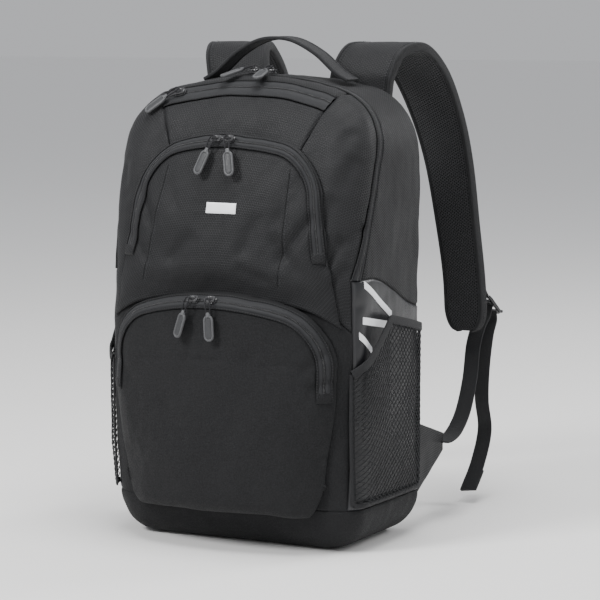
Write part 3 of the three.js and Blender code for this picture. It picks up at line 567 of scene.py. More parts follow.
class Cloth:
    """A node material: small helpers that each add one node and return its output."""

    def __init__(self, name, color, roughness, sheen=0.0, specular=0.17, coat=0.0):
        self.material = bpy.data.materials.new(name)
        self.material.use_nodes = True
        self.tree = self.material.node_tree
        self.shader = self.tree.nodes["Principled BSDF"]
        self.color = color
        settings = {"Base Color": (*color, 1), "Roughness": roughness, "Specular IOR Level": specular,
                    "Sheen Weight": sheen, "Sheen Roughness": 0.45, "Coat Weight": coat}
        for socket, value in settings.items():
            self.shader.inputs[socket].default_value = value
        self.uv = self.node("ShaderNodeUVMap").outputs[0]
        self.place = self.node("ShaderNodeTexCoord").outputs["Object"]

    def node(self, kind, **settings):
        made = self.tree.nodes.new(kind)
        for key, value in settings.items():
            setattr(made, key, value)
        return made

    def put(self, socket, value):
        if isinstance(value, bpy.types.NodeSocket):
            self.tree.links.new(value, socket)
        else:
            socket.default_value = value

    def math(self, operation, a, b=0.0, c=0.0):
        made = self.node("ShaderNodeMath", operation=operation)
        for socket, value in zip(made.inputs, (a, b, c)):
            self.put(socket, value)
        return made.outputs[0]

    def vector(self, operation, a, b=(0, 0, 0)):
        made = self.node("ShaderNodeVectorMath", operation=operation)
        self.put(made.inputs[0], a)
        self.put(made.inputs[1], b)
        return made.outputs["Value" if operation in ("LENGTH", "DOT_PRODUCT") else "Vector"]

    def spread(self, value, low, high, to_low=0.0, to_high=1.0):
        made = self.node("ShaderNodeMapRange", interpolation_type="SMOOTHSTEP")
        for socket, item in zip(made.inputs, (value, low, high, to_low, to_high)):
            self.put(socket, item)
        return made.outputs[0]

    def noise(self, scale, detail):
        made = self.node("ShaderNodeTexNoise")
        for socket, value in (("Vector", self.place), ("Scale", scale), ("Detail", detail), ("Roughness", 0.6)):
            self.put(made.inputs[socket], value)
        return made.outputs["Fac"]

    def mix(self, k, a, b):
        made = self.node("ShaderNodeMix", data_type="RGBA")
        self.put(made.inputs["Factor"], k)
        self.put(made.inputs["A"], (*a, 1) if isinstance(a, tuple) else a)
        self.put(made.inputs["B"], (*b, 1) if isinstance(b, tuple) else b)
        return made.outputs["Result"]

    def toned(self, k, low, high):
        """The material's own colour times low where k is 0, times high where it is 1."""
        return self.mix(k, shade(self.color, low), shade(self.color, high))

    def honeycomb(self, cell):
        """Distance from the middle of a honeycomb cell: 0 there, 0.5 at its walls. cell is in millimetres."""
        r = (1.0, math.sqrt(3), 1.0)
        half = tuple(c / 2 for c in r)
        p = self.vector("MULTIPLY", self.uv, (1 / cell, 1 / cell, 0))
        a = self.vector("SUBTRACT", self.vector("MODULO", p, r), half)
        b = self.vector("SUBTRACT", self.vector("MODULO", self.vector("ADD", p, half), r), half)
        flat_a = self.vector("MULTIPLY", a, (1, 1, 0))
        flat_b = self.vector("MULTIPLY", b, (1, 1, 0))
        nearer = self.math("LESS_THAN", self.vector("LENGTH", flat_a), self.vector("LENGTH", flat_b))
        made = self.node("ShaderNodeMix", data_type="VECTOR")
        self.put(made.inputs["Factor"], nearer)
        self.put(made.inputs[4], flat_b)
        self.put(made.inputs[5], flat_a)
        g = self.vector("ABSOLUTE", made.outputs[1])
        split = self.node("ShaderNodeSeparateXYZ")
        self.put(split.inputs[0], g)
        return self.math("MAXIMUM", self.vector("DOT_PRODUCT", g, (0.5, math.sqrt(3) / 2, 0)), split.outputs[0])

    def ribs(self, pitch, u=1.0, v=0.0):
        """Sine ribs across the cloth coordinates; u and v give their direction."""
        way = self.vector("DOT_PRODUCT", self.uv, (u * 2 * math.pi / pitch, v * 2 * math.pi / pitch, 0))
        return self.math("MULTIPLY_ADD", self.math("SINE", way), 0.5, 0.5)

    def bump(self, height, distance, strength=1.0, after=None):
        made = self.node("ShaderNodeBump")
        made.inputs["Strength"].default_value = strength
        made.inputs["Distance"].default_value = distance * MM
        self.put(made.inputs["Height"], height)
        if after is not None:
            self.put(made.inputs["Normal"], after)
        return made.outputs[0]

    def finish(self, color=None, roughness=None, normal=None):
        for name, value in (("Base Color", color), ("Roughness", roughness), ("Normal", normal)):
            if value is not None:
                self.put(self.shader.inputs[name], value)
        return self.material


def shade(color, k):
    return tuple(c * k for c in color)


def ripstop():
    m = Cloth("ripstop", (0.0105, 0.0107, 0.0115), 0.6, sheen=0.025)
    wall = m.spread(m.honeycomb(2.9), 0.36, 0.47)
    cloudy = m.noise(14, 4)
    ground = m.toned(cloudy, 0.75, 1.2)
    color = m.mix(m.math("MULTIPLY", wall, 0.8), ground, shade(m.color, 2.6))
    grain = m.bump(m.noise(1400, 2), 0.12, 0.4)
    return m.finish(color, m.spread(m.math("ADD", wall, cloudy), 0, 1.6, 0.68, 0.44), m.bump(wall, 0.45, 0.9, grain))


def polyester():
    m = Cloth("textured_polyester", (0.0088, 0.009, 0.0097), 0.75, sheen=0.025)
    weave = m.math("MULTIPLY", m.ribs(1.5), m.ribs(1.5, 0, 1))
    slub = m.noise(620, 3)
    speck = m.spread(m.noise(900, 2), 0.42, 0.66)
    ground = m.toned(m.noise(11, 4), 0.75, 1.2)
    color = m.mix(m.math("MULTIPLY", speck, 0.55), ground, shade(m.color, 2.1))
    first = m.bump(slub, 0.3, 0.6)
    return m.finish(color, m.spread(slub, 0.3, 0.7, 0.85, 0.62), m.bump(weave, 0.25, 0.7, first))


def coated_cloth():
    m = Cloth("coated_cloth", (0.012, 0.0123, 0.014), 0.34, specular=0.42)
    soft = m.noise(9, 3)
    weave = m.math("MULTIPLY", m.ribs(0.9), m.ribs(0.9, 0, 1))
    color = m.toned(soft, 0.7, 1.4)
    return m.finish(color, m.spread(soft, 0.2, 0.8, 0.24, 0.42), m.bump(weave, 0.1, 0.5, m.bump(soft, 3, 0.4)))


def spacer_mesh():
    m = Cloth("air_mesh", (0.028, 0.0285, 0.03), 0.9, sheen=0.04)
    hole = m.spread(m.honeycomb(3.6), 0.22, 0.36)
    fuzz = m.noise(1600, 2)
    # Where hole is 0, in the middle of each cell, the colour is 0.22 of the yarn's: painted shade in the mesh's
    # holes.
    color = m.mix(hole, shade(m.color, 0.22), m.toned(fuzz, 0.9, 1.9))
    return m.finish(color, m.spread(hole, 0, 1, 0.98, 0.8), m.bump(hole, 0.9, 0.9, m.bump(fuzz, 0.2, 0.5)))


def knitted_net():
    m = Cloth("knitted_net", (0.02, 0.0205, 0.022), 0.8, sheen=0.04)
    yarn = m.noise(1800, 2)
    color = m.toned(yarn, 0.7, 1.8)
    return m.finish(color, m.spread(yarn, 0.3, 0.7, 0.9, 0.7), m.bump(yarn, 0.2, 0.7))


def webbing():
    m = Cloth("webbing", (0.024, 0.0244, 0.026), 0.72, sheen=0.04)
    twill = m.math("MULTIPLY", m.ribs(1.3, 1, 1), m.ribs(1.3, 1, -1))
    yarn = m.noise(900, 3)
    color = m.toned(m.math("MULTIPLY", twill, yarn), 0.6, 2.2)
    return m.finish(color, m.spread(yarn, 0.3, 0.7, 0.82, 0.62), m.bump(twill, 0.35, 0.8, m.bump(yarn, 0.1, 0.4)))


def zip_tape():
    m = Cloth("zip_tape", (0.019, 0.0195, 0.021), 0.66, sheen=0.035)
    rib = m.math("MULTIPLY", m.ribs(1.1), m.spread(m.noise(700, 2), 0.2, 0.8, 0.6, 1.0))
    color = m.toned(rib, 0.7, 1.6)
    return m.finish(color, m.spread(rib, 0, 1, 0.74, 0.56), m.bump(rib, 0.18, 0.7))


def zip_coil():
    m = Cloth("zip_coil", (0.012, 0.012, 0.013), 0.34, specular=0.55)
    worn = m.noise(240, 3)
    return m.finish(m.toned(worn, 0.7, 1.8), m.spread(worn, 0.3, 0.7, 0.28, 0.46))


def painted_metal():
    m = Cloth("slider_paint", (0.02, 0.02, 0.022), 0.34, specular=0.6, coat=0.3)
    worn = m.spread(m.noise(330, 4), 0.6, 0.72)
    color = m.mix(worn, m.color, (0.09, 0.09, 0.095))
    return m.finish(color, m.spread(m.noise(160, 3), 0.3, 0.7, 0.26, 0.44), m.bump(worn, -0.05, 0.4))


def moulded_plastic():
    m = Cloth("moulded_plastic", (0.011, 0.011, 0.0125), 0.2, specular=0.6)
    cloudy = m.noise(60, 3)
    color = m.toned(cloudy, 0.8, 1.5)
    return m.finish(color, m.spread(cloudy, 0.3, 0.7, 0.14, 0.3), m.bump(m.noise(500, 2), 0.02, 0.3))


def pull_rubber(name, color):
    m = Cloth(name, color, 0.55, specular=0.4)
    dust = m.noise(420, 3)
    tone = m.mix(dust, shade(color, 0.8), shade(color, 1.25))
    return m.finish(tone, m.spread(dust, 0.3, 0.7, 0.62, 0.46), m.bump(dust, 0.05, 0.5))


def cord_cloth():
    m = Cloth("pull_cord", (0.016, 0.016, 0.018), 0.7, sheen=0.03)
    braid = m.math("MULTIPLY", m.ribs(1.2, 1, 1), m.ribs(1.2, 1, -1))
    return m.finish(m.toned(braid, 0.6, 2.2), 0.7, m.bump(braid, 0.2, 0.7))


def reflective_tape():
    m = Cloth("reflective_tape", (0.83, 0.84, 0.86), 0.42, specular=0.7)
    bead = m.noise(1500, 2)
    color = m.toned(bead, 0.86, 1.05)
    return m.finish(color, m.spread(bead, 0.3, 0.7, 0.5, 0.32), m.bump(bead, 0.05, 0.5))


def thread():
    m = Cloth("thread", (0.034, 0.035, 0.038), 0.6, sheen=0.04)
    ply = m.noise(2400, 2)
    return m.finish(m.toned(ply, 0.6, 1.7), m.spread(ply, 0.3, 0.7, 0.7, 0.5),
                    m.bump(ply, 0.08, 0.6))


def lining_cloth():
    m = Cloth("lining", (0.08, 0.085, 0.095), 0.7, sheen=0.03)
    weave = m.math("MULTIPLY", m.ribs(0.8), m.ribs(0.8, 0, 1))
    color = m.toned(m.noise(20, 3), 0.8, 1.2)
    return m.finish(color, m.spread(m.noise(300, 2), 0.3, 0.7, 0.76, 0.6), m.bump(weave, 0.1, 0.5))


def fibre_board():
    m = Cloth("fibre_board", (0.26, 0.24, 0.21), 0.88)
    fibre = m.noise(180, 5)
    color = m.toned(fibre, 0.75, 1.2)
    return m.finish(color, m.spread(fibre, 0.3, 0.7, 0.94, 0.8), m.bump(fibre, 0.2, 0.5))


RIPSTOP = ripstop()
POLYESTER = polyester()
COATED = coated_cloth()
AIR_MESH = spacer_mesh()
NET = knitted_net()
WEB = webbing()
TAPE = zip_tape()
COIL = zip_coil()
METAL = painted_metal()
PLASTIC = moulded_plastic()
RUBBER = pull_rubber("pull_rubber", (0.03, 0.031, 0.033))
# A lighter copy of the pull rubber for the tab's rim and collar: a painted highlight along their edges.
RUBBER_PAINTED_HIGHLIGHT = pull_rubber("pull_rim_painted_highlight", (0.062, 0.063, 0.066))
CORD = cord_cloth()
REFLECTIVE = reflective_tape()
THREAD = thread()
LINING = lining_cloth()
BOARD = fibre_board()


# ------------------------------------------------------------------ camera, light and floor

def view_axes():
    a, e = math.radians(CAMERA_AZIMUTH), math.radians(CAMERA_ELEVATION)
    back = np.array([math.sin(a) * math.cos(e), -math.cos(a) * math.cos(e), math.sin(e)])
    right = np.array([math.cos(a), math.sin(a), 0])
    return back, right, np.cross(back, right)


def add_camera():
    back, right, up = view_axes()
    data = bpy.data.cameras.new("camera")
    data.sensor_width = SENSOR
    data.lens = CAMERA_DISTANCE * CAMERA_ZOOM * SENSOR / IMAGE_SIZE
    data.clip_end = 50
    camera = bpy.data.objects.new("camera", data)
    bpy.context.scene.collection.objects.link(camera)
    at = TARGET + right * TARGET_RIGHT + up * TARGET_UP + back * CAMERA_DISTANCE
    rotation = Matrix([right, up, back]).transposed().to_4x4()
    camera.matrix_world = Matrix.Translation(Vector(at * MM)) @ rotation
    bpy.context.scene.camera = camera


def add_light(name, at, aim, size, power):
    data = bpy.data.lights.new(name, "AREA")
    data.shape = "DISK"
    data.size = size
    data.energy = power
    light = bpy.data.objects.new(name, data)
    bpy.context.scene.collection.objects.link(light)
    light.location = at
    light.rotation_euler = (Vector(aim) - Vector(at)).to_track_quat("-Z", "Y").to_euler()


def add_stage():
    floor_material = bpy.data.materials.new("studio_floor")
    floor_material.use_nodes = True
    tree = floor_material.node_tree
    shader = tree.nodes["Principled BSDF"]
    place_node = tree.nodes.new("ShaderNodeTexCoord")
    distance = tree.nodes.new("ShaderNodeVectorMath")
    distance.operation = "LENGTH"
    tree.links.new(place_node.outputs["Object"], distance.inputs[0])
    spread = tree.nodes.new("ShaderNodeMapRange")
    spread.interpolation_type = "SMOOTHSTEP"
    for socket, value in zip(list(spread.inputs)[1:5], (*FLOOR_FADE, 0.0, 1.0)):
        socket.default_value = value
    tree.links.new(distance.outputs["Value"], spread.inputs[0])
    # Painted light: the floor is lighter the farther it lies from the bag.
    tone = tree.nodes.new("ShaderNodeMix")
    tone.data_type = "RGBA"
    tone.inputs["A"].default_value = FLOOR_NEAR
    tone.inputs["B"].default_value = FLOOR_FAR
    tree.links.new(spread.outputs[0], tone.inputs["Factor"])
    tree.links.new(tone.outputs["Result"], shader.inputs["Base Color"])
    shader.inputs["Roughness"].default_value = 0.9
    bpy.ops.mesh.primitive_plane_add(size=FLOOR_SIZE, location=(0, 0, FLOOR_Z))
    floor = bpy.context.active_object
    floor.name = "studio_floor"
    floor.data.materials.append(floor_material)
    world = bpy.data.worlds.new("studio")
    world.use_nodes = True
    world.node_tree.nodes["Background"].inputs[0].default_value = SKY
    world.node_tree.nodes["Background"].inputs[1].default_value = SKY_STRENGTH
    bpy.context.scene.world = world
    for light in LIGHTS:
        add_light(*light)


# ------------------------------------------------------------------ body panels

S_FOOT = float(BODY.s_at(FOOT_RADIUS))
S_ZIP_END = float(BODY.s_at(ZIP_END_Z))
S_WING_TOP = float(BODY.s_at(BODY.top_at(WING_SEAM_X)))
BASE_END = 1.12
WING_LOW_Z, WING_HIGH_Z = 214, 262
PANEL_STEP = 2.6
PANEL_THICK = 2.2


def side_edge_s(t):
    return BODY.s_at(lerp(SIDE_BACK_Z, ZIP_END_Z, ease(t / SIDE_EDGE_T)))


def wing_front(s):
    return lerp(1, PANEL_END, np.clip((BODY.at(s)[1] - LOWER["top"]) / 60, 0, 1))


def wing_low_s(t):
    """The seam where each wing's upper cloth meets the lower cloth, falling towards the side."""
    return BODY.s_at(lerp(WING_LOW_Z, WING_HIGH_Z, np.clip((t - CORNER_START) / (1 - CORNER_START), 0, 1)))


def seams(s0, s1, t0, t1, u, v):
    """The s and t of a place on a panel whose four seams are s0, s1 (of t) and t0, t1 (of s)."""
    s, t = 0 * u, v
    for _ in range(8):
        s = lerp(s0(t), s1(t), u)
        t = lerp(t0(s), t1(s), v)
    return s, t


def at(value):
    """A seam that stays at one value."""
    return lambda _: value


def spans(points):
    u = np.linalg.norm(np.diff(points, axis=0), axis=-1).sum(0).max()
    v = np.linalg.norm(np.diff(points, axis=1), axis=-1).sum(1).max()
    return u, v


def panel(name, material, slot, nodes, s0, s1, t0, t1, left=False, tuck=2.2):
    """A sewn panel of the body between its four seams, its edges rolled into them."""
    def surface(u, v):
        s, t = seams(s0, s1, t0, t1, u, v)
        return skin(1 - s if left else s, t)

    rough = np.linspace(0, 1, 12)
    length_u, length_v = spans(surface(*np.meshgrid(rough, rough, indexing="ij")))
    u, v = np.meshgrid(edge_steps(length_u, PANEL_STEP), edge_steps(length_v, PANEL_STEP), indexing="ij")
    points = surface(u, v)
    relief = crumple(points) + tucked(points, tuck)
    return place(cloth(name, points, PANEL_THICK, material, relief=relief), "pack_body", slot, *nodes)


def raised(points, lift=0.0):
    """A grid of points set on the crumpled cloth, and the outward directions there."""
    height = crumple(points) + lift
    n = normals(points, CENTRE)
    return points + n * height[..., None], n


def body_panels():
    def zip_front(s):
        return seam_t(s, ZIP_BAND)

    panel("rear_gusset", RIPSTOP, "ripstop", ["rear_gusset_left", "rear_gusset_right", "rear_gusset_top"],
          side_edge_s, lambda t: 1 - side_edge_s(t), at(0.0), seam_t)
    for side in ("left", "right"):
        left = side == "left"
        panel(f"side_panel_{side}", COATED, "glossy_cloth", [f"side_panel_{side}"],
              at(S_FOOT), side_edge_s, at(0.0), zip_front, left)
        panel(f"wing_panel_{side}", RIPSTOP, "ripstop", [f"wing_panel_{side}"],
              wing_low_s, at(S_WING_TOP), zip_front, wing_front, left)
        panel(f"lower_wing_{side}", POLYESTER, "polyester", [f"wing_panel_{side}"],
              at(S_FOOT), wing_low_s, zip_front, at(PANEL_END), left, tuck=1.2)
    panel("front_gusset_top", RIPSTOP, "ripstop", ["front_gusset_top"],
          at(S_WING_TOP), at(1 - S_WING_TOP), zip_front, at(FRONT_ZIP_T))
    panel("front_top_panel", RIPSTOP, "ripstop", ["front_top_panel"],
          at(S_WING_TOP), at(1 - S_WING_TOP), at(FRONT_ZIP_T + FRONT_ZIP_SPAN), at(PANEL_END))


def base():
    u, v = np.meshgrid(np.linspace(-S_FOOT, S_FOOT, 150), np.linspace(0, BASE_END, 78), indexing="ij")
    points = skin(u % 1.0, v)
    near_floor = np.clip((points[..., 2] - 2) / 26, 0, 1)
    relief = crumple(points) * near_floor + tucked(points, 1.2)
    relief = np.where(points[..., 2] < 2.5, np.minimum(relief, 0), relief)
    n = normals(points, CENTRE)
    points = points + n * relief[..., None]
    points[..., 2] = np.maximum(points[..., 2], 0)
    place(cloth("base_panel", points, 2.4, POLYESTER), "pack_body", "polyester", "base_panel")


def sweep_piece(name, path, section, material, slot, body="pack_body", up=None, closed=False):
    return place(sweep(name, path, section, material, up, closed), body, slot)


# ------------------------------------------------------------------ zips

def zip_band(name, points, nodes, lift=0.0):
    """A zip: woven tape with its coil down the middle and corded edges."""
    grid, n = raised(points, lift)
    across = np.linspace(-1, 1, grid.shape[1])
    hump = 1.3 * np.exp(-((np.abs(across) - 0.46) / 0.3) ** 2) - 0.3
    tape = cloth(name, grid, 1.0, TAPE, relief=np.broadcast_to(hump, grid.shape[:2]))
    place(tape, "pack_body", "zip_tape", *nodes)
    middle = grid.shape[1] // 2
    out = n[:, middle]
    line = grid[:, middle] + out * 0.35
    place(studs(f"{name}_coil", line, out, COIL, 1.35, (2.6, 1.0, 1.3), across=True), "pack_body", "zip_tape")
    for k, edge in ((0, "rear"), (-1, "front")):
        piping = grid[:, k] + n[:, k] * 0.3
        sweep_piece(f"{name}_piping_{edge}", piping, oval(1.9, 1.9, 8), RIPSTOP, "ripstop")


def zips():
    across = np.linspace(0.02, 0.98, 15)
    s, v = np.meshgrid(np.linspace(S_ZIP_END, 1 - S_ZIP_END, 360), across, indexing="ij")
    zip_band("main_zip", skin(s, seam_t(s, v * ZIP_BAND)), ["main_zip"])
    s, v = np.meshgrid(np.linspace(S_WING_TOP, 1 - S_WING_TOP, 130), across, indexing="ij")
    zip_band("front_zip", skin(s, FRONT_ZIP_T + v * FRONT_ZIP_SPAN), ["front_zip"])


# ------------------------------------------------------------------ front pockets

def pocket(name, shape, arch, foot, zip_end, material, slot):
    u, v = np.meshgrid(np.linspace(0, 1, 150), np.linspace(0, 1, 120), indexing="ij")
    x = shape["half"] * np.sin((u - 0.5) * math.pi)
    z = lerp(foot(x), arch.top_at(x), 0.5 - 0.5 * np.cos(v * math.pi))
    points = pocket_face(shape, arch, x, z)
    depth = arch.depth_of(x, z)
    band = ease((depth - 1) / 3) * ease((17 - depth) / 3) * ease((z - zip_end + 8) / 10)
    relief = crumple(points) - 1.2 * band + tucked(points, 1.6, 3.0)
    place(cloth(name, points, 1.8, material, relief=relief), "pack_body", slot, name)
    s0 = float(arch.s_at(zip_end))
    s, inset = np.meshgrid(np.linspace(s0, 1 - s0, 300), np.linspace(0, 1, 15) * ZIP_BAND, indexing="ij")
    zip_band(f"{name}_zip", pocket_point(shape, arch, s, POCKET_ZIP_INSET + inset), [f"{name}_zip"], 0.9)


STOP_LENGTH, STOP_WIDTH = 12, 13
STOP_OVERHANG, STOP_INSET = 4, 2
STOP_LIFT = 2.0


def zip_stops(name, shape, arch, zip_end, material, slot):
    """Small cloth tabs sewn over both ends of a pocket's zip."""
    s0 = float(arch.s_at(zip_end))
    for side, sign, start in (("right", 1, s0), ("left", -1, 1 - s0)):
        millimetre = sign / (2 * arch.length)
        along = edge_steps(STOP_LENGTH, 1.2, (0, 0.4, 1)) * STOP_LENGTH - STOP_OVERHANG
        across = edge_steps(STOP_WIDTH, 1.2, (0, 0.4, 1)) * STOP_WIDTH + STOP_INSET
        s, inset = np.meshgrid(start + millimetre * along, across, indexing="ij")
        points, _ = raised(pocket_point(shape, arch, s, inset), STOP_LIFT)
        relief = tucked(points, 1.6, 2.4)
        place(cloth(f"{name}_stop_{side}", points, 0.9, material, relief=relief), "pack_body", slot)


def seam_on_pocket(name, shape, arch, start, end):
    """A stitched seam down the pocket's face between two (x, z) places."""
    k = np.linspace(0, 1, 60)
    x, z = lerp(start[0], end[0], k), lerp(start[1], end[1], k)

    def beside(offset, lift):
        """The line that runs offset beside the seam, lifted off the cloth, and its outward directions."""
        strip = [pocket_face(shape, arch, x + offset + d, z) for d in (-1, 0, 1)]
        line, n = raised(np.stack(strip, 1), lift)
        return line[:, 1], n[:, 1]

    sweep_piece(name, beside(0, 0.15)[0], oval(1.5, 1.1, 8), RIPSTOP, "ripstop")
    place(stitches(f"{name}_stitches", *beside(3, 0.2)), "pack_body", "ripstop")


LABEL_HALF = 17
LABEL_Z = (350, 361)


def label():
    """A plain woven label on the upper pocket."""
    x, z = np.meshgrid(np.linspace(-LABEL_HALF, LABEL_HALF, 30), np.linspace(*LABEL_Z, 12), indexing="ij")
    points, _ = raised(pocket_face(UPPER, UPPER_ARCH, x, z), 0.9)
    relief = tucked(points, 0.5, 1.4)
    place(cloth("label_patch", points, 0.8, REFLECTIVE, relief=relief), "pack_body", "reflective", "label_patch")


def front_pockets():
    pocket("upper_pocket", UPPER, UPPER_ARCH, lambda x: LOWER_ARCH.top_at(x) - POCKET_OVERLAP,
           UPPER_ZIP_END, RIPSTOP, "ripstop")
    pocket("lower_pocket", LOWER, LOWER_ARCH, lambda x: foot_z(LOWER, x), LOWER_ZIP_END, POLYESTER, "polyester")
    zip_stops("upper_pocket_zip", UPPER, UPPER_ARCH, UPPER_ZIP_END, RIPSTOP, "ripstop")
    zip_stops("lower_pocket_zip", LOWER, LOWER_ARCH, LOWER_ZIP_END, POLYESTER, "polyester")
    seam_on_pocket("upper_seam_left", UPPER, UPPER_ARCH, (-74, 398), (-82, 278))
    seam_on_pocket("upper_seam_right", UPPER, UPPER_ARCH, (78, 396), (60, 278))
    label()


# ------------------------------------------------------------------ sides

MESH = dict(bottom=52, front_t=0.87, back_t=0.05, front_top=189, peak_t=0.58, peak_top=241, back_top=223)
NET_ACROSS, NET_UP = 34, 50
STRAND = 1.25
NET_SWELL = 9
STRIP_HALF = 3.8
STRIPS = [((-46, 280), (15, 243)), ((-47, 243), (10, 233)), ((-52, 228), (-27, 210))]


def mesh_top(t):
    return np.interp(t, [MESH["back_t"], MESH["peak_t"], MESH["front_t"]],
                     [MESH["back_top"], MESH["peak_top"], MESH["front_top"]])


def mesh_point(t, v, left, lift=2.4):
    z = lerp(MESH["bottom"], mesh_top(t), v)
    across = np.sin(math.pi * np.clip((t - MESH["back_t"]) / (MESH["front_t"] - MESH["back_t"]), 0, 1)) ** 0.6
    swell = NET_SWELL * across * np.minimum(1, 0.25 + 2.5 * v) + lift
    s = BODY.s_at(z)
    s = 1 - s if left else s
    across = skin(s, t + 0.004) - skin(s, t - 0.004)
    along = skin(s + 0.002, t) - skin(s - 0.002, t)
    out = unit(np.cross(across, along))
    out = out * np.sign(out[..., :1] * (-1 if left else 1))
    return skin(s, t) + out * np.asarray(swell)[..., None]


def skin_across(t, z, left):
    """The direction in which t grows over the side wall."""
    s = BODY.s_at(z)
    s = 1 - s if left else s
    return unit(skin(s, t + 0.004) - skin(s, t - 0.004))


def net(name, left, side):
    """The open knitted net: real diamond holes between its strands."""
    nu, nv = NET_ACROSS, NET_UP
    i, j = np.meshgrid(np.arange(nu + 1), np.arange(nv + 1), indexing="ij")
    t = lerp(MESH["back_t"], MESH["front_t"], i / nu)
    points = mesh_point(t, j / nv, left)
    points = points + 0.4 * waves(points, 30, 5)[..., None] * np.array([1.0, 0, 0])
    number = i * (nv + 1) + j
    ci, cj = np.meshgrid(np.arange(1, nu), np.arange(1, nv), indexing="ij")
    odd = (ci + cj) % 2 == 1
    ci, cj = ci[odd], cj[odd]
    quads = np.stack([number[ci - 1, cj], number[ci, cj - 1], number[ci + 1, cj], number[ci, cj + 1]], -1)
    used = np.unique(quads)
    index = np.full(number.size, -1)
    index[used] = np.arange(len(used))
    obj = make_mesh(name, points.reshape(-1, 3)[used], index[quads].tolist(), NET)
    solid = obj.modifiers.new("strands", "WIREFRAME")
    solid.thickness = STRAND * MM
    solid.use_even_offset = False
    solid.use_replace = True
    place(obj, "pack_body", "open_mesh", f"mesh_pocket_{side}")


def side_pocket(side, left):
    net(f"mesh_pocket_{side}", left, side)
    t = np.linspace(MESH["back_t"], MESH["front_t"], 80)
    mouth = mesh_point(t, 1.0, left, 2.8)
    sweep_piece(f"mesh_hem_{side}", mouth, oval(9, 2.4, 12, 4), WEB, "webbing", up=np.array([[0, 0, 1.0]]))
    for t_edge, name in ((MESH["front_t"], "front"), (MESH["back_t"], "back")):
        v = np.linspace(0, 1, 60)
        edge = mesh_point(np.full(60, t_edge), v, left, 1.2)
        wide = skin_across(t_edge, lerp(MESH["bottom"], mesh_top(t_edge), v), left)
        sweep_piece(f"mesh_edge_{name}_{side}", edge, oval(6, 2.4, 12, 3), WEB, "webbing", up=wide)
    foot = mesh_point(t, 0.0, left, 1.6)
    sweep_piece(f"mesh_foot_{side}", foot, oval(6, 2, 10, 3), WEB, "webbing", up=np.array([[0, 0, 1.0]]))
    parts = []
    for number, (start, end) in enumerate(STRIPS):
        k, v = np.meshgrid(np.linspace(0, 1, 30), np.linspace(-STRIP_HALF, STRIP_HALF, 8), indexing="ij")
        y, z = lerp(start[0], end[0], k), lerp(start[1], end[1], k) + v
        s = BODY.s_at(z)
        points, _ = raised(skin(1 - s if left else s, t_at(y, z)), 0.7)
        parts.append(cloth(f"reflective_strips_{side}_{number}", points, 0.6, REFLECTIVE))
    place(join(f"reflective_strips_{side}", parts), "pack_body", "reflective", f"reflective_trim_{side}")


# ------------------------------------------------------------------ back

def arch_ring(inset, y):
    x, z, nx, nz = BODY.at(np.linspace(0, 1, 160, endpoint=False))
    return vec(x - inset * nx, y, z - inset * nz)


def shrunk(ring, k, y):
    centre = ring.mean(0)
    small = centre + (ring - centre) * k
    small[:, 1] = y
    return small


def rounded_ring(cx, cz, half_x, half_z, radius, inset, y, count=12):
    r = max(radius - inset, 0.5)
    hx, hz = half_x - inset - r, half_z - inset - r
    ring = []
    for q, (sx, sz) in enumerate(((1, 1), (-1, 1), (-1, -1), (1, -1))):
        a = np.linspace(0, math.pi / 2, count) + q * math.pi / 2
        ring.append(vec(cx + sx * hx + r * np.cos(a), y, cz + sz * hz + r * np.sin(a)))
    return np.concatenate(ring)


PAD_Y = 92.4
PAD_THICK = 8.2
PAD_PROFILE = [(1.5, 0), (0.2, 0.8), (0, 1.6), (0.5, 2.4), (2, 3), (4, 2.7), (5, 2.5), (6, 3.1), (8, 4.9), (11, 6.5),
               (15, 7.4)]
PAD_DOME = [(0.8, 0.95), (0.5, 0.99), (0.15, 1.0)]


def pad(name, cx, low, high, half_x, radius):
    """A foam pad under cloth: rolled edges, a stitched groove round it and a softly domed face."""
    cz, half_z = (low + high) / 2, (high - low) / 2

    def ring(inset, height):
        return rounded_ring(cx, cz, half_x, half_z, radius, inset, PAD_Y + height)

    rings = [ring(inset, height) for inset, height in PAD_PROFILE]
    rings += [shrunk(rings[-1], k, PAD_Y + PAD_THICK * h) for k, h in PAD_DOME]
    obj = place(loft(name, rings, AIR_MESH), "pack_body", "air_mesh", name)
    line = ring(5.2, 2.9)
    line = np.concatenate([line, line[:1]])
    place(stitches(f"{name}_stitches", line, np.tile([0, 1.0, 0], (len(line), 1))), "pack_body", "air_mesh")


BACK_PROFILE = [(12, 83), (8.6, 84), (8, 87), (8.2, 90), (9.4, 91.6), (12, 92.2), (20, 92.3)]


def back():
    rings = [arch_ring(inset, y) for inset, y in BACK_PROFILE]
    rings += [shrunk(rings[-1], k, BACK_PROFILE[-1][1]) for k in (0.7, 0.3)]
    obj = place(loft("back_panel", rings, RIPSTOP), "pack_body", "ripstop", "back_panel")
    piping = arch_ring(7.4, 91.2)
    sweep_piece("back_piping", piping, oval(3.4, 3.4, 10), WEB, "webbing", closed=True)
    pad("back_pad_left", -66, 190, 436, 50, 22)
    pad("back_pad_right", 66, 190, 436, 50, 22)
    pad("lumbar_pad", 0, 56, 172, 116, 24)


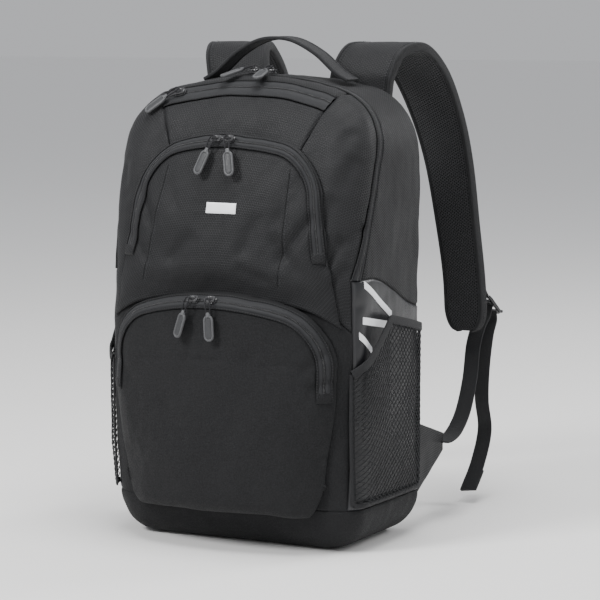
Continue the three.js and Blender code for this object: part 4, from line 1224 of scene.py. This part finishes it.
def inner_pieces():
    def wall(name, inset, low, y_at, material, slot):
        u, v = np.meshgrid(np.linspace(0, 1, 60), np.linspace(0, 1, 60), indexing="ij")
        x = (HALF_WIDTH - inset) * np.sin((u - 0.5) * math.pi)
        z = lerp(low, BODY.top_at(x, inset), v)
        place(cloth(name, vec(x, y_at(z), z), 1.6, material), "pack_body", slot, name)

    wall("front_panel", 46, 50, lambda z: front_y(z) + 4.2, POLYESTER, "polyester")
    wall("compartment_divider", 14, 50, lambda z: np.maximum(zip_y(z) - 17, -38), LINING, "lining")
    sleeve = [rounded_ring(0, 171, 128, 129, 10, i, y) for i, y in ((0.6, 58.2), (0, 58.8), (0, 60.2), (0.6, 60.8))]
    place(loft("tablet_sleeve", sleeve, LINING), "pack_body", "lining", "tablet_sleeve")
    outline = rounded_ring(0, 23, 100, 51, 12, 0, 0)
    board = [vec(outline[:, 0], outline[:, 2], z) for z in (3.6, 5.9)]
    place(loft("base_board", board, BOARD), "pack_body", "board", "base_board")


# ------------------------------------------------------------------ handle and shoulder straps

def handle():
    half = [(-86, 0, 0), (-72, 0, 8), (-48, 0, 28), (-20, 0, 42)]
    route = half + [(0, 0, 44.5)] + [(-x, y, z) for x, y, z in reversed(half)]
    path = spline(route, 90) + np.array([0, 53, 484.5])
    wide = np.array([[0, 1.0, 0]])
    place(sweep("top_handle", path, oval(25, 2.8, 20, 5), WEB, wide), "handle", "webbing", "top_handle")
    _, side, out = frames_along(path, wide)
    out = out * np.sign(out[45, 2])
    for k, name in ((-1, "front"), (1, "rear")):
        edge = path + side * 12.2 * k
        sweep_piece(f"handle_binding_{name}", edge, oval(3.0, 3.9, 10, 3), WEB, "webbing", "handle", wide)
        line = path + side * 9.4 * k + out * 1.45
        place(stitches(f"handle_stitches_{name}", line, out), "handle", "webbing")


YOKE_ROUTE = [(72, 98.5, 446), (73.5, 99, 470), (76.5, 101, 492)]
STRAP_ROUTE = [(77, 102, 496), (84, 114, 513), (94, 145, 518), (101, 188, 494), (106, 228, 445),
               (110, 254, 390), (117, 264, 320), (124, 268, 255), (127, 268, 197)]
WEBBING_ROUTE = [(136.2, 303.5, 222), (135.4, 299, 211), (134, 286, 198), (134.5, 272, 180), (139, 251, 143),
                 (143, 222, 110), (145.5, 192, 93), (148, 162, 88), (148, 148, 88)]
TAIL_ROUTE = [(138.2, 309.5, 216.5), (138.6, 311, 206), (138, 303, 190), (137, 294, 150), (137, 292, 114),
              (138, 299, 79), (137, 281, 42), (135, 257, 15)]
LOOP_ROUTE = [(125.6, 272.3, 268), (126.6, 275, 262), (128.5, 281.5, 256), (131, 289.5, 246.5), (133.6, 298, 234)]
ANCHOR_CORNERS = [(148, 84, 41), (148, 84, 118.9), (148, 156, 79), (148, 156, 97)]
LOCK_CENTRE = np.array([137.0, 306, 224])
LOCK_FACE = np.array([0.28, 0.68, 0.68])
STRAP_TURN = 0.39
STRAP_THICK = 10
STRAP_TOP_WIDTH, STRAP_LOW_WIDTH = 72, 60
WEBBING_WIDTH, WEBBING_THICK = 22, 1.7


def mirrored(points, left):
    points = np.array(points, float)
    return points * np.array([-1.0, 1, 1]) if left else points


def strap_wide(u, left):
    turn = ease((u - 0.05) / 0.85) * STRAP_TURN
    return mirrored(vec(np.cos(turn), -np.sin(turn), 0 * turn), left)


def strap_width(u):
    taper = lerp(STRAP_TOP_WIDTH, STRAP_LOW_WIDTH, ease((u - 0.1) / 0.8))
    tip = np.clip((1 - u) / 0.06, 0, 1)
    return taper * lerp(0.4, 1, np.sqrt(1 - (1 - tip) ** 2))


def bend(obj, side, slot, nodes=(), start=(0.073, 0.1, 0.5), end=(0.09, 0.15, 0.5)):
    """A piece that crosses from the bag to the strap: hides the frame's solids it stands for and bakes its place into
    its mesh.
    """
    if nodes:
        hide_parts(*nodes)
    left = side == "left"
    mirrored(start, left)
    mirrored(end, left)
    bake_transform(obj)


def shoulder_strap(side, left):
    path = spline(mirrored(YOKE_ROUTE + STRAP_ROUTE[1:], left), 200)
    u = np.linspace(0, 1, 200)
    wide = strap_wide(u, left)
    _, across, out = frames_along(path, wide)
    if out[120] @ np.array([0, 1.0, 0]) < 0:
        out = -out
    half = strap_width(u)[:, None] / 2
    a = np.linspace(0, 2 * math.pi, 44, endpoint=False)
    c, s = np.cos(a), np.sin(a)
    sx, sy = np.sign(c) * np.abs(c) ** 0.4, np.sign(s) * np.abs(s) ** 0.62
    soft = 0.96 + 0.03 * waves(path, 60, 31)
    rings = (path[:, None] + sx[None, :, None] * (half - 1.2)[:, None] * across[:, None]
             + sy[None, :, None] * (STRAP_THICK / 2 * soft)[:, None, None] * out[:, None])
    body = loft(f"shoulder_strap_{side}", rings, AIR_MESH, 60)
    girth = np.cumsum(np.linalg.norm(np.diff(rings[80], axis=0, prepend=rings[80][-1:]), axis=1))
    write_uv(body.data, body.data.uv_layers[0], wrapped_uv(way_along(path), girth))
    bend(body, side, "air_mesh", (f"shoulder_strap_{side}", f"strap_yoke_{side}"))

    k = np.linspace(-1, 1, 34)
    lift = 5.75 * (1 - 0.32 * np.abs(k) ** 4) * np.where(np.abs(k) > 0.985, 0.86, 1)
    cover = path[:, None] + k[None, :, None] * (half - 2.2)[:, None] * across[:, None]
    cover = cover + lift[None, :, None] * out[:, None]
    cover = cover + out[:, None] * (0.35 * waves(cover, 34, 41) + 0.25 * waves(cover, 15, 43))[..., None]
    bend(cloth(f"strap_cover_{side}", cover, 0.9, RIPSTOP, path[120] - out[120] * 200), side, "ripstop")

    parts = []
    for sign, name in ((-1, "inner"), (1, "outer")):
        edge = path + across * sign * (half - 1.6)
        parts.append(sweep(f"strap_binding_{side}_{name}", edge, oval(4.4, STRAP_THICK + 0.3, 14, 3.4), WEB, across))
        line = path + across * sign * (half - 6.6) + out * 5.5
        parts.append(stitches(f"strap_line_{side}_{name}", line[4:-8], out[4:-8]))
    bend(join(f"strap_binding_{side}", parts), side, "webbing")


def flat_webbing(name, path, wide, width=WEBBING_WIDTH):
    return sweep(name, path, oval(width, WEBBING_THICK, 22, 6), WEB, wide)


def carrying_gear(side, left):
    shoulder_strap(side, left)
    wide = strap_wide(np.array([1.0]), left)
    adjuster = flat_webbing(f"adjuster_webbing_{side}", spline(mirrored(WEBBING_ROUTE, left), 80), wide)
    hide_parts(f"adjuster_webbing_{side}")
    mirrored((0.139, 0.251, 0.143), left)
    mirrored((0.1358, 0.3, 0.213), left)
    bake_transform(adjuster)
    loop = flat_webbing(f"lock_loop_{side}", spline(mirrored(LOOP_ROUTE, left), 30), wide)
    place(loop, f"strap_{side}", "webbing", f"lock_loop_{side}")
    path = spline(mirrored(TAIL_ROUTE, left), 90)
    place(flat_webbing(f"webbing_tail_{side}", path, wide), f"tail_{side}", "webbing", f"webbing_tail_{side}")
    hem = path[-12:] - frames_along(path, wide)[2][-12:] * 1.8
    place(flat_webbing(f"tail_hem_{side}", hem, wide, 22.6), f"tail_{side}", "webbing")

    root_low, root_high, tip_low, tip_high = np.array(ANCHOR_CORNERS)
    k, v = np.meshgrid(np.linspace(0, 1, 40), np.linspace(0, 1, 26), indexing="ij")
    k, v = k[..., None], v[..., None]
    points = lerp(lerp(root_low, root_high, v), lerp(tip_low, tip_high, v), k)
    points = points + np.array([1.4, 0, 0]) + 0.7 * waves(points, 40, 51)[..., None] * np.array([1.0, 0, 0])
    inside = mirrored((0, 120, 85), left)
    sheet = cloth(f"strap_anchor_{side}", mirrored(points.reshape(-1, 3), left).reshape(points.shape), 2.8, RIPSTOP,
                  inside, relief=tucked(points, 0.9, 3))
    bend(sheet, side, "ripstop", (f"strap_anchor_{side}",), (0.148, 0.093, 0.088), (0.148, 0.125, 0.088))
    ladder_lock(side, left)


def in_frame(origin, x, y, z):
    """A function that takes points of a small piece's own frame to the bag."""
    return lambda points: origin + np.atleast_2d(points) @ np.array([x, y, z])


def ladder_lock(side, left):
    x = unit(strap_wide(np.array([1.0]), left)[0])
    z = mirrored(LOCK_FACE, left)
    z = unit(z - x * (z @ x))
    y = np.cross(z, x)
    to_bag = in_frame(mirrored(LOCK_CENTRE, left), x, y if y[2] > 0 else -y, z)
    ring = rounded_ring(0, 0, 11.6, 13.4, 4, 0, 0, 8)[:, [0, 2, 1]]
    parts = [sweep(f"ladder_lock_{side}", to_bag(ring), oval(4.0, 4.8, 14, 2.6), PLASTIC, np.array([z]), closed=True)]
    for height, name in ((-1.2, "middle"), (4.4, "upper")):
        bar = vec(np.linspace(-11, 11, 12), height, 0 * np.linspace(0, 1, 12))
        parts.append(sweep(f"lock_bar_{name}_{side}", to_bag(bar), oval(4.2, 3.6, 12, 2.6), PLASTIC, np.array([z])))
    lip = vec(np.linspace(-12.5, 12.5, 16), -14.2 + 0 * np.linspace(0, 1, 16), 2.2 + 0 * np.linspace(0, 1, 16))
    parts.append(sweep(f"lock_lip_{side}", to_bag(lip), oval(3.6, 3.4, 12), PLASTIC, np.array([z])))
    place(join(f"ladder_lock_{side}", parts), f"lock_{side}", "gloss_plastic", f"ladder_lock_{side}")


# ------------------------------------------------------------------ zip sliders and pulls

SLIDER_LENGTH, SLIDER_WIDTH, SLIDER_HEIGHT = 12, 8, 3.6
SLIDER_LIFT = 3.4
PULL_NECK, PULL_TAB, PULL_WIDTH, PULL_THICK = 15, 27, 11, 3


def tab_ring(inset, height):
    """The round-ended outline of a pull's tab, in the pull's own frame."""
    r = PULL_WIDTH / 2 - inset
    a = np.linspace(0, math.pi, 12)
    low = vec(r * np.cos(a + math.pi), PULL_NECK + PULL_WIDTH / 2 + r * np.sin(a + math.pi), 0 * a + height)
    high = vec(r * np.cos(a), PULL_NECK + PULL_TAB - PULL_WIDTH / 2 + r * np.sin(a), 0 * a + height)
    return np.concatenate([low, high])


def slider(name, band, x, hang):
    """A zip slider with its cord and moulded tab; band(x, v) is the zip's face, v running across it."""
    seat = band(x, 0.5)
    along = unit(band(x + 1, 0.5) - band(x - 1, 0.5))
    face = unit(np.cross(along, band(x, 0.7) - band(x, 0.3)))
    if face @ (seat - CENTRE) < 0:
        face = -face
    across = np.cross(face, along)
    seat = seat + face * SLIDER_LIFT
    fall = unit(np.array(hang, float))
    pull_face = unit(face - fall * (face @ fall))
    clear = (SLIDER_HEIGHT * (face @ pull_face) + SLIDER_WIDTH / 2 * abs(across @ pull_face)
             + SLIDER_LENGTH / 2 * abs(along @ pull_face))
    bail = seat + pull_face * (clear + 0.5 + PULL_THICK / 2)
    on_zip = in_frame(seat, along, across, face)
    outline = np.array([(-6, -2.4), (-5.4, -3.1), (-2, -4), (2.6, -4), (5.4, -3.4), (6, -2.4),
                        (6, 2.4), (5.4, 3.4), (2.6, 4), (-2, 4), (-5.4, 3.1), (-6, 2.4)])
    rings = [on_zip(np.c_[outline * k, np.full(12, h)]) for k, h in
             ((0.9, -1.6), (1, -1.2), (1, -0.4), (0.8, 0.0), (0.8, 1.2), (1, 1.5), (1.0, 2.4), (0.92, 2.9))]
    arm = on_zip(spline([(-4.6, 0, 2.4), (-3.4, 0, 4.2), (0, 0, 5.2), (3.0, 0, 4.4), (4.2, 0, 2.4)], 20))
    parts = [loft(f"{name}_slider", rings, METAL),
             sweep(f"{name}_arm", arm, oval(2.2, 1.4, 10), METAL, np.array([across]))]
    place(join(f"{name}_slider", parts), f"{name}_slider", "zip_metal", f"{name}_slider")

    on_pull = in_frame(bail, np.cross(fall, pull_face), fall, pull_face)
    loop = [(-1.5, 16, 0), (-2.3, 10, 0.3), (-2.9, 4, 0.2), (-2.2, -0.6, -0.3), (0, -2.4, -0.6), (2.2, -0.6, -0.3),
            (2.9, 4, 0.2), (2.3, 10, 0.3), (1.5, 16, 0)]
    cord = sweep(f"{name}_cord", on_pull(spline(loop, 50)), oval(1.5, 1.5, 10), CORD)
    # The tab's rim is lofted in the lighter rubber, a painted highlight round its edge.
    rim = [on_pull(tab_ring(inset, height)) for inset, height in
           ((1.4, -1.5), (0.5, -1.3), (0, -0.7), (0, 0.7), (0.5, 1.3), (1.2, 1.55), (1.9, 1.4), (2.3, 0.8))]
    tab = loft(f"{name}_pull", rim, RUBBER_PAINTED_HIGHLIGHT, 50)
    face_rings = [on_pull(tab_ring(inset, height)) for inset, height in
                  ((2.35, 0.7), (2.4, 1.1), (2.9, 1.35), (4.2, 1.4))]
    plate = loft(f"{name}_face", face_rings, RUBBER, 50)
    a = np.linspace(0, 2 * math.pi, 14, endpoint=False)
    collar = [on_pull(vec(r * np.cos(a), y, 0.8 * r * np.sin(a))) for r, y in
              ((1.9, 12.2), (2.3, 12.8), (2.6, 15), (3.2, 17))]
    # The collar takes the same lighter rubber, a painted highlight.
    neck = loft(f"{name}_collar", collar, RUBBER_PAINTED_HIGHLIGHT, 50)
    place(join(f"{name}_pull", [tab, plate, neck]), f"{name}_pull", "rubber", f"{name}_pull")
    place(cord, f"{name}_pull", "webbing")


def crown_s(arch, x, inset):
    return 0.5 - math.asin(x / (arch.crown - inset)) * arch.crown / (2 * arch.length)


def sliders():
    middle = POCKET_ZIP_INSET + ZIP_BAND / 2

    def pocket_band(shape, arch):
        return lambda x, v: pocket_point(shape, arch, crown_s(arch, x, middle), POCKET_ZIP_INSET + v * ZIP_BAND)

    def main_band(x, v):
        s = crown_s(BODY, x, 0)
        return skin(s, seam_t(s, v * ZIP_BAND))

    def front_band(x, v):
        return skin(crown_s(BODY, x, 0), FRONT_ZIP_T + v * FRONT_ZIP_SPAN)

    upper, lower = pocket_band(UPPER, UPPER_ARCH), pocket_band(LOWER, LOWER_ARCH)
    slider("upper_pocket_left", upper, -15, (-0.35, -0.3, -1))
    slider("upper_pocket_right", upper, 1, (0.25, -0.3, -1))
    slider("lower_pocket_left", lower, -17, (-0.3, -0.04, -1))
    slider("lower_pocket_right", lower, 3, (0.07, -0.04, -1))
    slider("main_left", main_band, -12, (-0.5, -1, -0.3))
    slider("main_right", main_band, 8, (0.1, -1, -0.3))
    slider("front", front_band, -84, (-1, -0.3, -0.75))


body_panels()
base()
zips()
front_pockets()
for SIDE in ("left", "right"):
    side_pocket(SIDE, SIDE == "left")
    carrying_gear(SIDE, SIDE == "left")
back()
inner_pieces()
handle()
sliders()
add_camera()
add_stage()
